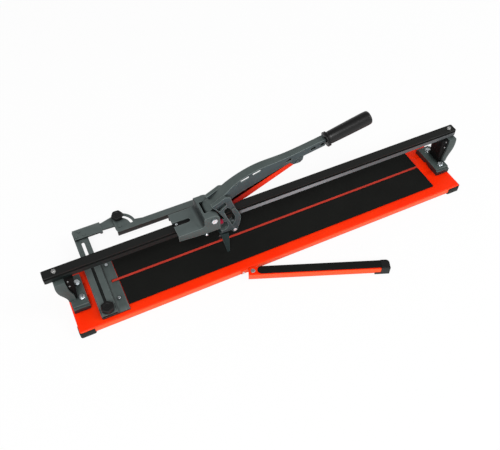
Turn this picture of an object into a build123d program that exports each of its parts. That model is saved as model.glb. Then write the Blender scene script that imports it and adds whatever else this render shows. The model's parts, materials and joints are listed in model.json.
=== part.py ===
from build123d import *
import os
from math import cos, radians, sin, sqrt

# Manual tile cutter, millimetres.
# Origin: middle of the base's footprint on the floor. +X runs along the rail, +Y to the back, +Z up.

os.makedirs("parts", exist_ok=True)

# ---------------------------------------------------------------- driving dimensions

# base plate
base_length = 1220.0
base_width = 236.0
base_top = 26.0
sheet = 2.5
skirt_lift = 6.0
corner_radius = 6.0
fold_radius = 4.0

# corner feet
foot_length = 44.0
foot_depth = 30.0
foot_top = 22.0
foot_proud = 1.5

# stiffener under the plate
stiffener_end_gap = 20.0
stiffener_width = 36.0
stiffener_lip = 12.0

# rail brackets, u is measured inwards from the foot's outer edge
left_foot_edge = -base_length / 2 + 5.0
right_foot_edge = base_length / 2
foot_pad_length = 45.0
foot_pad_half = 56.0
foot_pad_upper_half = 50.0
foot_pad_step = 15.0
foot_pad_height = 20.0
post_half = 28.0
bracket_bolt_u = {"left": 32.0, "right": 19.0}
bracket_bolt_y = {"left": 25.0, "right": 34.0}
bracket_bolt = 8.0
rail_bolt_u = {"left": -11.0, "right": -5.0}
arch_radius = 9.0
block_half = 22.0

# end fence
fence_left = left_foot_edge + 61.0
fence_right = fence_left + 78.0
fence_half = base_width / 2 - 13.0
fence_step_x = fence_left + 46.0
fence_height = 11.0
fence_floor = 5.5
fence_screw = 5.0
fence_screw_x = fence_right - 16.5
fence_screw_y = 60.0
fence_notch = 10.0

# mats and breaking strip
mat_left = fence_right + 2.0
mat_right = base_length / 2 - 80.0
mat_outer = base_width / 2 - 29.0
mat_thickness = 4.0
strip_width = 7.0
strip_height = 5.0
strip_left = fence_right - 18.0
strip_mat_gap = 0.5

# side stop
bar_width = 39.6
bar_thickness = 5.0
bar_front = -fence_half + 2.0
bar_back = base_width / 2 + 89.0
bar_slot_width = 8.6
bar_slot_front = bar_front + 10.0
bar_slot_back = bar_back - 45.0
head_left = fence_left + 5.0
head_right = head_left + 83.0
head_front = bar_back - 36.0
head_thickness = 5.0
head_cover = 1.5
tongue_front = head_front + 6.0
tongue_back = bar_back - 5.0
head_tab = 4.5
stop_running = 0.2

# angle arm on the side stop
arm_pivot_x = head_left + 133.0
arm_pivot_y = bar_back - 43.0
arm_left = arm_pivot_x - 12.0
arm_right = arm_pivot_x + 296.0
arm_front = arm_pivot_y - 19.5
arm_width = 22.5
arm_sheet = 3.8
arm_flange = 17.0
arm_pivot_rivet_size = 6.0
quadrant_radius = 49.0
quadrant_slot_radius = 36.5
quadrant_slot_width = 9.5
angle_knob_at = 82.5
arm_swing = 76.0

# clamp knobs
clamp_knob_y = -fence_half + 20.0
clamp_knob_height = 14.0
angle_knob_height = 12.0
clamp_knob_radius = 19.0
angle_knob_radius = 18.0
clamp_stud = 8.0
angle_stud = 6.0
stud_cover = 4.5

# guide rail
rail_left = left_foot_edge - 39.5
rail_right = right_foot_edge + 19.5
rail_width = 26.0
rail_height = 24.0
rail_top = 161.0
groove_height = 7.6
groove_depth = 3.5
groove_top_web = 2.7
rail_core_width = 10.0
rail_core_height = 9.0
rail_core_floor = 2.5
cap_thickness = 3.0
cap_plug = 10.0

# carriage
carriage_left = -288.0
carriage_half = 41.5
carriage_wall = 5.5
carriage_plate_top = 170.0
carriage_roof = 164.5
carriage_skirt = 142.0
housing_left = -213.0
housing_top = 203.0
pivot_x = -186.0
pivot_z = 186.0
cheek_radius = 17.0
gap_half = 20.9
plate_slot_length = 49.0
plate_slot_width = 14.0
plate_slot_y = 2.5
end_wall = 8.0
rail_window_half = 15.0

# guide rollers
roller_radius = 11.0
roller_width = 7.0
roller_bore = 8.0
roller_gap = 0.3
roller_x = (-267.0, -193.0)

# lever
hub_radius = 16.0
pivot_bolt = 10.0
bush_wall = 1.5
cheek_inner = 18.0
cheek_plate = 7.0
lever_top_wall = 5.0
lever_side_wall = 4.0
tang_radius = 8.0
tang_length = 108.0
tang_root = 22.0
grip_x = 164.0
grip_z = 301.0
grip_slope = 12.4
grip_length = 140.0

# wheel holder, scoring wheel and breaker foot
holder_x = -150.0
holder_length = 12.0
holder_width = 8.0
holder_top = 110.0
bridge_left = -160.0
bridge_right = -118.0
bridge_bottom = 96.0
bridge_top = 105.0
wheel_z = 48.0
wheel_radius = 10.0
wheel_width = 3.0
wheel_axle = 4.0
wing_tip_y = 50.0
wing_tip_z = 38.0

# support arm
swing_x = -115.4
swing_out = 16.5
swing_angle = -22.0
support_length = 385.0
support_width = 27.0
support_sheet = 2.5
support_bottom = 5.0
support_pad = 4.0
support_rivet = 8.0

fit = 0.1
thread_gap = 0.1


# ---------------------------------------------------------------- helpers

def save(part, name):
    part.label = name
    export_step(part, f"parts/{name}.step")


def hex_radius(across_flats):
    return across_flats / sqrt(3)


def knob(x, y, bottom, radius, height, bore, name):
    """Six-lobed clamp knob with a blind bore for its stud."""
    lobe = radius * 0.34
    with BuildPart() as body:
        with BuildSketch(Plane.XY.offset(bottom)):
            with Locations((x, y)):
                Circle(radius * 0.86)
                with PolarLocations(radius - lobe, 6):
                    Circle(lobe)
        extrude(amount=height)
        fillet(body.faces().sort_by(Axis.Z)[-1].edges(), height * 0.12)
        with BuildSketch(Plane.XY.offset(bottom)):
            with Locations((x, y)):
                Circle(bore / 2 + fit)
        extrude(amount=height - stud_cover + 1, mode=Mode.SUBTRACT)
    save(body.part, name)
    return body.part


# ---------------------------------------------------------------- base

bracket_ends = (("left", left_foot_edge, 1), ("right", right_foot_edge, -1))
bolt_spots = [
    (edge + inward * bracket_bolt_u[name], side * bracket_bolt_y[name])
    for name, edge, inward in bracket_ends
    for side in (-1, 1)
]

with BuildPart() as base_plate:
    with BuildSketch(Plane.XY.offset(skirt_lift)):
        RectangleRounded(base_length, base_width, corner_radius)
    extrude(amount=base_top - skirt_lift)
    fillet(base_plate.faces().sort_by(Axis.Z)[-1].edges(), fold_radius)
    with BuildSketch(Plane.XY.offset(skirt_lift)):
        RectangleRounded(base_length - 2 * sheet, base_width - 2 * sheet, corner_radius - sheet)
    extrude(amount=base_top - skirt_lift - sheet, mode=Mode.SUBTRACT)
    with Locations(*[(x, y, base_top) for x, y in bolt_spots]):
        Hole(bracket_bolt / 2 + 0.3)
    with Locations(*[(fence_screw_x, y, base_top) for y in (-fence_screw_y, fence_screw_y)]):
        Hole(fence_screw / 2 + thread_gap)
save(base_plate.part, "base_plate")

with BuildPart() as centre_stiffener:
    lip_top = base_top - sheet
    stiffener_left = left_foot_edge + foot_pad_length + stiffener_end_gap
    stiffener_right = right_foot_edge - foot_pad_length - stiffener_end_gap
    with BuildSketch(Plane.YZ.offset(stiffener_left)):
        with Locations((0, lip_top / 2)):
            Rectangle(stiffener_width, lip_top)
        with Locations((0, lip_top - sheet / 2)):
            Rectangle(stiffener_width + 2 * stiffener_lip, sheet)
        with Locations((0, (lip_top + sheet) / 2)):
            Rectangle(stiffener_width - 2 * sheet, lip_top - sheet, mode=Mode.SUBTRACT)
    extrude(amount=stiffener_right - stiffener_left)
save(centre_stiffener.part, "centre_stiffener")

with BuildPart() as corner_feet:
    foot_x = base_length / 2 + foot_proud - foot_length / 2
    foot_y = base_width / 2 + foot_proud - foot_depth / 2
    with BuildSketch():
        with GridLocations(2 * foot_x, 2 * foot_y, 2, 2):
            RectangleRounded(foot_length, foot_depth, corner_radius)
    extrude(amount=foot_top)
    add(base_plate.part, mode=Mode.SUBTRACT)
save(corner_feet.part, "corner_feet")

for side, sy in (("front", -1), ("rear", 1)):
    with BuildPart() as mat:
        mat_inner = strip_width / 2 + strip_mat_gap
        with BuildSketch(Plane.XY.offset(base_top)):
            with Locations(((mat_left + mat_right) / 2, sy * (mat_inner + mat_outer) / 2)):
                Rectangle(mat_right - mat_left, mat_outer - mat_inner)
        extrude(amount=mat_thickness)
        fillet(mat.faces().sort_by(Axis.Z)[-1].edges(), 0.8)
    save(mat.part, f"{side}_mat")

with BuildPart() as breaking_strip:
    with BuildSketch(Plane.XY.offset(base_top)):
        with Locations(((strip_left + mat_right) / 2, 0)):
            Rectangle(mat_right - strip_left, strip_width)
    extrude(amount=strip_height)
    fillet(breaking_strip.faces().sort_by(Axis.Z)[-1].edges(), 1.0)
save(breaking_strip.part, "breaking_strip")

# ---------------------------------------------------------------- end fence and its fasteners

bar_x = (fence_left + fence_step_x) / 2
bar_bottom = base_top + fence_floor + stop_running
bar_top = bar_bottom + bar_thickness

with BuildPart() as end_fence:
    with BuildSketch(Plane.XY.offset(base_top)):
        with Locations(((fence_left + fence_step_x) / 2, 0)):
            Rectangle(fence_step_x - fence_left, 2 * fence_half)
    extrude(amount=fence_height)
    fillet(end_fence.edges().filter_by(Axis.Z).group_by(Axis.X)[0], 5.0)
    with BuildSketch(Plane.XY.offset(base_top)):
        with Locations(((fence_right + fence_step_x) / 2, 0)):
            Rectangle(fence_right - fence_step_x, 2 * fence_half)
        with Locations(((fence_right + strip_left) / 2 - 1, 0)):
            Rectangle(fence_right - strip_left + 2, fence_notch, mode=Mode.SUBTRACT)
    extrude(amount=mat_thickness)
    with BuildSketch(Plane.XY.offset(base_top + fence_floor)):
        with Locations((bar_x, 0)):
            Rectangle(bar_width + 2 * stop_running, 2 * fence_half + 2)
    extrude(amount=fence_height, mode=Mode.SUBTRACT)
    with Locations(*[(fence_screw_x, y, base_top + mat_thickness) for y in (-fence_screw_y, fence_screw_y)]):
        Hole(fence_screw / 2 + thread_gap)
    with Locations((bar_x, clamp_knob_y, base_top + fence_floor)):
        Hole(clamp_stud / 2 + thread_gap)
save(end_fence.part, "end_fence")

with BuildPart() as fence_screws:
    for y in (-fence_screw_y, fence_screw_y):
        with BuildSketch(Plane.XY.offset(base_top + mat_thickness)):
            with Locations((fence_screw_x, y)):
                Circle(fence_screw - 0.5)
        extrude(amount=2.2)
        with BuildSketch(Plane.XY.offset(base_top - sheet - 4)):
            with Locations((fence_screw_x, y)):
                Circle(fence_screw / 2)
        extrude(amount=mat_thickness + sheet + 4)
    fillet(fence_screws.edges().filter_by(GeomType.CIRCLE).group_by(Axis.Z)[-1], 1.0)
save(fence_screws.part, "fence_screws")

# ---------------------------------------------------------------- rail brackets

pad_top = base_top + foot_pad_height
rail_bottom = rail_top - rail_height

# outline of the curved post, outer side then inner side
post_outer = {
    "left": [(-3, pad_top), (-3.5, 55), (-10, 74), (-19, 92), (-23.5, 112), (-22.5, rail_bottom)],
    "right": [(-5, pad_top), (-6, 56), (-12, 74), (-19.5, 92), (-23, 114), (-20.5, rail_bottom)],
}
post_inner = {
    "left": [(5, rail_bottom), (7, 95), (15, 70), (16, pad_top)],
    "right": [(4, rail_bottom), (5, 95), (9, 70), (11, pad_top)],
}
block_side = [(29, rail_bottom), (26, 100), (20.5, pad_top)]
block_screw_u = 12.7


def rail_bracket(name, edge, inward):
    """Cast bracket: stepped foot with an arch under it, and a post that bows outwards."""
    def at(u, z):
        return (edge + inward * u, z)

    with BuildPart() as bracket:
        for half, bottom, height in (
            (foot_pad_half, base_top, foot_pad_step),
            (foot_pad_upper_half, base_top + foot_pad_step, foot_pad_height - foot_pad_step),
        ):
            with BuildSketch(Plane.XY.offset(bottom)):
                with Locations((edge + inward * foot_pad_length / 2, 0)):
                    Rectangle(foot_pad_length, 2 * half)
            extrude(amount=height)
        chamfer(bracket.edges().filter_by(Axis.X).group_by(Axis.Z)[-1], 2.5)
        with BuildSketch(Plane.XZ) as post:
            with BuildLine():
                outer, inner = post_outer[name], post_inner[name]
                low = Line(at(*outer[0]), at(*outer[1]))
                bow = Spline([at(*p) for p in outer[1:]])
                Polyline(bow @ 1, *[at(*p) for p in inner], low @ 0)
            make_face()
        extrude(amount=post_half, both=True)
        with BuildSketch(Plane.YZ.offset(edge)):
            with Locations((0, base_top)):
                Circle(arch_radius)
        extrude(amount=inward * foot_pad_length, mode=Mode.SUBTRACT)
        with Locations(*[(x, y, pad_top) for x, y in bolt_spots]):
            Hole(bracket_bolt / 2 + 0.3)
        with Locations((edge + inward * rail_bolt_u[name], 0, rail_bottom)):
            Hole(rail_bolt / 2 + thread_gap, depth=rail_bolt_reach + 2)
    save(bracket.part, f"{name}_bracket")

    with BuildPart() as block:
        with BuildSketch(Plane.XZ):
            with BuildLine():
                Polyline([at(*p) for p in post_inner[name] + block_side[::-1]], close=True)
            make_face()
        extrude(amount=block_half, both=True)
        with BuildSketch(Plane.XZ.offset(block_half)):
            with Locations(*[at(block_screw_u, z) for z in block_screw_z]):
                Circle(block_screw / 2 + thread_gap)
        extrude(amount=-block_screw_reach - 1, mode=Mode.SUBTRACT)
    save(block.part, f"{name}_buffer_block")


block_screw_z = (108.0, 130.0)
block_screw = 3.0
block_screw_reach = 8.0
rail_bolt = 6.0
rail_bolt_reach = 22.0
for name, edge, inward in bracket_ends:
    rail_bracket(name, edge, inward)

with BuildPart() as block_screws:
    for name, edge, inward in bracket_ends:
        screw_at = [(edge + inward * block_screw_u, z) for z in block_screw_z]
        with BuildSketch(Plane.XZ.offset(block_half)):
            with Locations(*screw_at):
                Circle(block_screw - 0.2)
        extrude(amount=2)
        with BuildSketch(Plane.XZ.offset(block_half)):
            with Locations(*screw_at):
                Circle(block_screw / 2)
        extrude(amount=-block_screw_reach)
save(block_screws.part, "block_screws")

washer_thickness = 1.6
bolt_head_flats = 13.0
bolt_head_height = 5.3
nut_drop = 6.5
bolt_end = base_top - sheet - nut_drop - 2.5

with BuildPart() as bracket_bolts:
    with BuildSketch(Plane.XY.offset(pad_top)):
        with Locations(*bolt_spots):
            Circle(bracket_bolt)
    extrude(amount=washer_thickness)
    with BuildSketch(Plane.XY.offset(pad_top + washer_thickness)):
        with Locations(*bolt_spots):
            RegularPolygon(hex_radius(bolt_head_flats), 6)
    extrude(amount=bolt_head_height)
    with BuildSketch(Plane.XY.offset(bolt_end)):
        with Locations(*bolt_spots):
            Circle(bracket_bolt / 2)
    extrude(amount=pad_top - bolt_end)
save(bracket_bolts.part, "bracket_bolts")

with BuildPart() as bracket_nuts:
    with BuildSketch(Plane.XY.offset(base_top - sheet - nut_drop)):
        with Locations(*bolt_spots):
            RegularPolygon(hex_radius(bolt_head_flats), 6)
            Circle(bracket_bolt / 2 + thread_gap, mode=Mode.SUBTRACT)
    extrude(amount=nut_drop)
save(bracket_nuts.part, "bracket_nuts")

# ---------------------------------------------------------------- guide rail

groove_top = rail_top - groove_top_web
groove_z = groove_top - groove_height / 2
rail_bolt_x = (left_foot_edge + rail_bolt_u["left"], right_foot_edge - rail_bolt_u["right"])
core_z = rail_bottom + rail_core_floor + rail_core_height / 2
rail_washer = 1.2
rail_bolt_flats = 10.0
rail_bolt_head = 4.0

with BuildPart() as guide_rail:
    with BuildSketch(Plane.YZ.offset(rail_left)):
        with Locations((0, rail_top - rail_height / 2)):
            Rectangle(rail_width, rail_height)
        with Locations((-rail_width / 2, groove_z), (rail_width / 2, groove_z)):
            Rectangle(2 * groove_depth, groove_height, mode=Mode.SUBTRACT)
        with Locations((0, core_z)):
            Rectangle(rail_core_width, rail_core_height, mode=Mode.SUBTRACT)
    extrude(amount=rail_right - rail_left)
    with Locations(*[(x, 0, rail_top) for x in rail_bolt_x]):
        Hole(rail_bolt / 2 + 0.3)
save(guide_rail.part, "guide_rail")

with BuildPart() as rail_caps:
    for x, inward in ((rail_left, 1), (rail_right, -1)):
        with BuildSketch(Plane.YZ.offset(x)):
            with Locations((0, rail_top - rail_height / 2)):
                RectangleRounded(rail_width, rail_height, 1.5)
        extrude(amount=-inward * cap_thickness)
        with BuildSketch(Plane.YZ.offset(x)):
            with Locations((0, core_z)):
                Rectangle(rail_core_width - 2 * fit, rail_core_height - 2 * fit)
        extrude(amount=inward * cap_plug)
save(rail_caps.part, "rail_caps")

with BuildPart() as rail_bolts:
    rail_bolt_spots = [(x, 0) for x in rail_bolt_x]
    with BuildSketch(Plane.XY.offset(rail_top)):
        with Locations(*rail_bolt_spots):
            Circle(rail_bolt)
    extrude(amount=rail_washer)
    with BuildSketch(Plane.XY.offset(rail_top + rail_washer)):
        with Locations(*rail_bolt_spots):
            RegularPolygon(hex_radius(rail_bolt_flats), 6)
    extrude(amount=rail_bolt_head)
    with BuildSketch(Plane.XY.offset(rail_bottom - rail_bolt_reach)):
        with Locations(*rail_bolt_spots):
            Circle(rail_bolt / 2)
    extrude(amount=rail_height + rail_bolt_reach)
save(rail_bolts.part, "rail_bolts")

# ---------------------------------------------------------------- support arm hinge on the base

swing_y = -base_width / 2 - swing_out
swing_plane = Plane(
    origin=(swing_x, swing_y, 0),
    x_dir=(cos(radians(swing_angle)), sin(radians(swing_angle)), 0),
    z_dir=(0, 0, 1),
)
tab_top = base_top - support_sheet - 0.3
tab_radius = support_width / 2 - support_sheet - 1.0
tab_screws = (swing_x - 23.0, swing_x + 17.5)
tab_screw_z = 14.0

with BuildPart() as arm_hinge_bracket:
    with BuildSketch(Plane.XY.offset(tab_top - support_sheet)):
        with Locations((swing_x, swing_y)):
            Circle(tab_radius)
        with Locations((swing_x, (swing_y - base_width / 2) / 2)):
            Rectangle(2 * tab_radius, swing_out)
    extrude(amount=support_sheet)
    with BuildSketch(Plane.XZ.offset(base_width / 2)):
        with Locations(((tab_screws[0] + tab_screws[1]) / 2, (tab_top + 7.5) / 2)):
            Rectangle(tab_screws[1] - tab_screws[0] + 12, tab_top - 7.5)
    extrude(amount=support_sheet)
    with BuildSketch(Plane.XZ.offset(base_width / 2)):
        with Locations(*[(x, tab_screw_z) for x in tab_screws]):
            Circle(2 + thread_gap)
    extrude(amount=support_sheet, mode=Mode.SUBTRACT)
    with Locations((swing_x, swing_y, tab_top)):
        Hole(support_rivet / 2 + 0.05)
save(arm_hinge_bracket.part, "arm_hinge_bracket")

with BuildPart() as hinge_screws:
    with BuildSketch(Plane.XZ.offset(base_width / 2 + support_sheet)):
        with Locations(*[(x, tab_screw_z) for x in tab_screws]):
            Circle(3.8)
    extrude(amount=2)
    with BuildSketch(Plane.XZ.offset(base_width / 2)):
        with Locations(*[(x, tab_screw_z) for x in tab_screws]):
            Circle(2)
    extrude(amount=support_sheet)
save(hinge_screws.part, "hinge_screws")

with BuildPart() as arm_rivet:
    with BuildSketch(Plane.XY.offset(tab_top - support_sheet - 2)):
        with Locations((swing_x, swing_y)):
            Circle(6)
    extrude(amount=2)
    with BuildSketch(Plane.XY.offset(tab_top - support_sheet)):
        with Locations((swing_x, swing_y)):
            Circle(support_rivet / 2)
    extrude(amount=support_sheet + 0.3 + support_sheet + 0.2)
    with BuildSketch(Plane.XY.offset(base_top + 0.2)):
        with Locations((swing_x, swing_y)):
            Circle(6.5)
    extrude(amount=2.2)
    fillet(arm_rivet.faces().sort_by(Axis.Z)[-1].edges(), 1.2)
save(arm_rivet.part, "arm_rivet")

# ---------------------------------------------------------------- support arm

half = support_width / 2
wall_start = 26.0

with BuildPart() as support_arm:
    with BuildSketch(swing_plane.offset(support_bottom)):
        with Locations((support_length / 2 - 6.5, 0)):
            Rectangle(support_length + 13, support_width)
    extrude(amount=base_top - support_bottom)
    back_corner = support_arm.edges().filter_by(Axis.Z).sort_by_distance(swing_plane.from_local_coords((-13, half, 15)))
    fillet(back_corner[0], 11.0)
    with BuildSketch(swing_plane.offset(support_bottom)):
        with Locations((support_length / 2 - 8, 0)):
            Rectangle(support_length + 16 - 2 * support_sheet, support_width - 2 * support_sheet)
    extrude(amount=base_top - support_bottom - support_sheet, mode=Mode.SUBTRACT)
    with BuildSketch(swing_plane.offset(support_bottom)):
        with Locations(((wall_start - 16) / 2, half)):
            Rectangle(wall_start + 16, 4 * support_sheet)
    extrude(amount=base_top - support_bottom - support_sheet, mode=Mode.SUBTRACT)
    with BuildSketch(swing_plane.offset(base_top - support_sheet)):
        Circle(support_rivet / 2 + fit)
    extrude(amount=support_sheet, mode=Mode.SUBTRACT)
save(support_arm.part, "support_arm")

pad_start = 13.0
pad_half = 12.0
pad_inset = 1.5
cap_length = 22.0
cap_heel_length = 39.0
cap_heel_top = 8.0
cap_wall = 3.0
cap_side = 1.2
cap_corner = 10.0
pad_end = support_length - cap_length

with BuildPart() as arm_pad:
    with BuildSketch(swing_plane.offset(base_top)):
        with Locations(((pad_start + pad_half + pad_end) / 2, pad_inset)):
            Rectangle(pad_end - pad_start - pad_half, 2 * pad_half)
        with Locations((pad_start + pad_half, pad_inset)):
            Circle(pad_half)
    extrude(amount=support_pad)
    chamfer(arm_pad.faces().sort_by(Axis.Z)[-1].edges(), 1.0)
save(arm_pad.part, "arm_pad")

with BuildPart() as arm_end_cap:
    for length, top in ((cap_length, base_top + support_pad), (cap_heel_length, cap_heel_top)):
        with BuildSketch(swing_plane):
            with Locations((support_length + (cap_wall - length) / 2, 0)):
                Rectangle(length + cap_wall, support_width + 2 * cap_side)
        extrude(amount=top)
    fillet(arm_end_cap.edges().filter_by(Axis.Z).group_by(Axis.X)[-1], cap_corner)
    chamfer(arm_end_cap.faces().sort_by(Axis.Z)[-1].edges(), 1.0)
    add(support_arm.part, mode=Mode.SUBTRACT)
save(arm_end_cap.part, "arm_end_cap")

# ---------------------------------------------------------------- carriage

end_face = pivot_x + cheek_radius
wall_face = end_face - end_wall
groove_floor = rail_width / 2 - groove_depth
roller_y = groove_floor + roller_gap + roller_radius
roller_bottom = groove_z - roller_width / 2
gap_floor = pivot_z - hub_radius - 1.5
buffer_y = -23.0
buffer_z = 147.0
buffer_radius = 7.0
buffer_length = 14.0
under_cut = 60.0
skirt_rise = 8.0
ramp_length = 17.0
flange_screw_x = -209.5
flange_screw_flats = 9.0
glide_screw_x = carriage_left + 10.0
axle_radius = roller_bore / 2 - 0.05
axle_seat = 4.0

with BuildPart() as carriage:
    with BuildSketch(Plane.XZ) as carriage_side:
        with BuildLine():
            Polyline(
                (housing_left - ramp_length, carriage_plate_top),
                (carriage_left, carriage_plate_top),
                (carriage_left, carriage_skirt + skirt_rise),
                (housing_left, carriage_skirt),
                (end_face, carriage_skirt),
                (end_face, pivot_z),
            )
            CenterArc((pivot_x, pivot_z), cheek_radius, 0, 90)
            Polyline(
                (pivot_x, housing_top),
                (housing_left + 2, housing_top),
                (housing_left, housing_top - 2),
                (housing_left, carriage_plate_top + 9),
            )
            Spline(
                (housing_left, carriage_plate_top + 9),
                (housing_left - ramp_length, carriage_plate_top),
                tangents=[(-0.3, -1), (-1, 0)],
            )
        make_face()
    extrude(amount=carriage_half, both=True)
    with BuildSketch(Plane.YZ.offset(carriage_left)):
        with Locations((0, carriage_roof - under_cut / 2)):
            Rectangle(2 * (carriage_half - carriage_wall), under_cut)
    extrude(amount=wall_face - carriage_left, mode=Mode.SUBTRACT)
    with BuildSketch(Plane.YZ.offset(wall_face)):
        with Locations((buffer_y, buffer_z)):
            Circle(buffer_radius + 2)
    extrude(amount=end_wall)
    with BuildSketch(Plane.YZ.offset(wall_face)):
        with Locations((0, carriage_roof - under_cut / 2)):
            Rectangle(2 * rail_window_half, under_cut)
    extrude(amount=end_wall, mode=Mode.SUBTRACT)
    with BuildSketch(Plane.XY.offset(gap_floor)):
        with Locations(((pivot_x - hub_radius - 3 + end_face) / 2, 0)):
            Rectangle(end_face - pivot_x + hub_radius + 3, 2 * gap_half)
    extrude(amount=housing_top - gap_floor, mode=Mode.SUBTRACT)
    with BuildSketch(Plane.XY.offset(carriage_roof)):
        with Locations((carriage_left, plate_slot_y)):
            SlotOverall(2 * plate_slot_length, plate_slot_width)
    extrude(amount=carriage_plate_top - carriage_roof, mode=Mode.SUBTRACT)
    with BuildSketch(Plane.XZ.offset(carriage_half)):
        with Locations((pivot_x, pivot_z)):
            Circle(pivot_bolt / 2 + thread_gap)
    extrude(amount=-2 * carriage_half, mode=Mode.SUBTRACT)
    with BuildSketch(Plane.YZ.offset(wall_face)):
        with Locations((buffer_y, buffer_z)):
            Circle(3 + thread_gap)
    extrude(amount=end_wall, mode=Mode.SUBTRACT)
    with BuildSketch(Plane.XY.offset(carriage_skirt)):
        with Locations((flange_screw_x, -carriage_half + carriage_wall / 2)):
            Circle(1.5 + thread_gap)
    extrude(amount=10, mode=Mode.SUBTRACT)
    with BuildSketch(Plane.XY.offset(carriage_roof)):
        with Locations(*[(x, y) for x in roller_x for y in (-roller_y, roller_y)]):
            Circle(axle_radius + thread_gap)
    extrude(amount=axle_seat, mode=Mode.SUBTRACT)
save(carriage.part, "carriage")

with BuildPart() as glide_pad:
    pad_left = carriage_left + 3
    pad_length = 65.0
    pad_bottom = rail_top + 0.3
    glide_boss = 4.5
    glide_rise = 1.5
    glide_screw_y = plate_slot_y + 2.0
    glide_screw_size = 4.0
    with BuildSketch(Plane.XY.offset(pad_bottom)):
        with Locations((pad_left + pad_length / 2, 0)):
            Rectangle(pad_length, rail_width - 2)
    extrude(amount=carriage_roof - pad_bottom)
    with BuildSketch(Plane.XY.offset(carriage_roof)):
        with Locations((glide_screw_x, glide_screw_y)):
            Circle(glide_boss)
    extrude(amount=glide_rise)
    with Locations((glide_screw_x, glide_screw_y, carriage_roof + glide_rise)):
        Hole(glide_screw_size / 2 + thread_gap, depth=glide_rise + 2)
save(glide_pad.part, "glide_pad")

with BuildPart() as glide_screw:
    with BuildSketch(Plane.XY.offset(carriage_roof + glide_rise)):
        with Locations((glide_screw_x, glide_screw_y)):
            Circle(glide_screw_size - 0.5)
    extrude(amount=2.2)
    fillet(glide_screw.faces().sort_by(Axis.Z)[-1].edges(), 0.8)
    with BuildSketch(Plane.XY.offset(carriage_roof + glide_rise - 3)):
        with Locations((glide_screw_x, glide_screw_y)):
            Circle(glide_screw_size / 2)
    extrude(amount=3)
save(glide_screw.part, "glide_screw")

roller_spots = [(x, y) for x in roller_x for y in (-roller_y, roller_y)]
roller_top = roller_bottom + roller_width

with BuildPart() as roller_axles:
    for bottom, radius, height in (
        (roller_bottom - 2.0, roller_bore / 2 + 2, 2.0 - 0.3),
        (roller_bottom - 0.3, axle_radius, carriage_roof + axle_seat - roller_bottom + 0.3),
        (roller_top + 0.3, roller_bore / 2 + 2, carriage_roof - roller_top - 0.3),
    ):
        with BuildSketch(Plane.XY.offset(bottom)):
            with Locations(*roller_spots):
                Circle(radius)
        extrude(amount=height)
save(roller_axles.part, "roller_axles")

roller_names = ("left_front", "left_rear", "right_front", "right_rear")
for name, spot in zip(roller_names, roller_spots):
    with BuildPart() as guide_roller:
        with BuildSketch(Plane.XY.offset(roller_bottom)):
            with Locations(spot):
                Circle(roller_radius)
                Circle(roller_bore / 2, mode=Mode.SUBTRACT)
        extrude(amount=roller_width)
        rims = guide_roller.edges().filter_by(GeomType.CIRCLE).filter_by(lambda e: e.radius > roller_radius - 1)
        chamfer(rims, 0.6)
    save(guide_roller.part, f"{name}_roller")

with BuildPart() as stop_buffer:
    with BuildSketch(Plane.YZ.offset(end_face)):
        with Locations((buffer_y, buffer_z)):
            Circle(buffer_radius)
    extrude(amount=buffer_length)
    fillet(stop_buffer.faces().sort_by(Axis.X)[-1].edges(), 1.5)
    with BuildSketch(Plane.YZ.offset(wall_face)):
        with Locations((buffer_y, buffer_z)):
            Circle(3)
    extrude(amount=end_wall)
save(stop_buffer.part, "stop_buffer")

with BuildPart() as flange_screw:
    with BuildSketch(Plane.XY.offset(carriage_skirt - 8)):
        with Locations((flange_screw_x, -carriage_half + carriage_wall / 2)):
            RegularPolygon(hex_radius(flange_screw_flats), 6)
    extrude(amount=8)
    with BuildSketch(Plane.XY.offset(carriage_skirt)):
        with Locations((flange_screw_x, -carriage_half + carriage_wall / 2)):
            Circle(1.5)
    extrude(amount=9)
save(flange_screw.part, "flange_screw")

bolt_head = 6.4
nut_height = 8.0

with BuildPart() as pivot_bolt_part:
    with BuildSketch(Plane.XZ.offset(carriage_half)):
        with Locations((pivot_x, pivot_z)):
            RegularPolygon(hex_radius(16), 6)
    extrude(amount=bolt_head)
    with BuildSketch(Plane.XZ.offset(carriage_half)):
        with Locations((pivot_x, pivot_z)):
            Circle(pivot_bolt / 2)
    extrude(amount=-(2 * carriage_half + nut_height + 3))
save(pivot_bolt_part.part, "pivot_bolt")

with BuildPart() as pivot_nut:
    with BuildSketch(Plane.XZ.offset(-carriage_half)):
        with Locations((pivot_x, pivot_z)):
            RegularPolygon(hex_radius(16), 6)
            Circle(pivot_bolt / 2 + thread_gap, mode=Mode.SUBTRACT)
    extrude(amount=-nut_height)
save(pivot_nut.part, "pivot_nut")

with BuildPart() as pivot_washers:
    for side in (-1, 1):
        with BuildSketch(Plane.XZ.offset(side * (gap_half - 0.1))):
            with Locations((pivot_x, pivot_z)):
                Circle(11)
                Circle(pivot_bolt / 2 + thread_gap, mode=Mode.SUBTRACT)
        extrude(amount=-side * 1.0)
save(pivot_washers.part, "pivot_washers")

# ---------------------------------------------------------------- lever

hub_side = gap_half - 0.1 - 1.0 - 0.2
lever_top = [(-190, 201.5), (-163, 222), (-141, 243), (-104, 268), (-43, 288), (29, 292.5), (101, 302.5), (160, 313)]
lever_bottom = [(160, 290), (100, 279), (42, 267.5), (-20, 249.5), (-50, 239), (-74, 232), (-95, 225), (-117, 217), (-140, 202)]
lever_root = [(-140, 202), (-158, 191), (-173, 176.7)]
plan_edge = [(-170, hub_side), (-135, 15.6), (-104, 13.2), (-25, 12), (44, 10.6), (160, 9.8)]
core_left = -150.0
core_right = 50.0
core_floor = 170.0
lever_slots = ((-108, -104), (-93, -70), (-58, -35))
slot_face = 12.3
slot_drop = 2.9
slot_height = 5.2
slot_lean = (0.4675, 1, -1.199)
slot_reach = 10.0
rear_window = [(-84, 235.5), (-24, 253), (-24, 264), (-84, 248.5)]
window_start = 5.0
fork_lug = 87.0
neck_pockets = ((50, 282, 18), (123, 294, 17), (151, 298.5, 13))
pocket_height = 9.0
pocket_floor = 4.0
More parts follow.
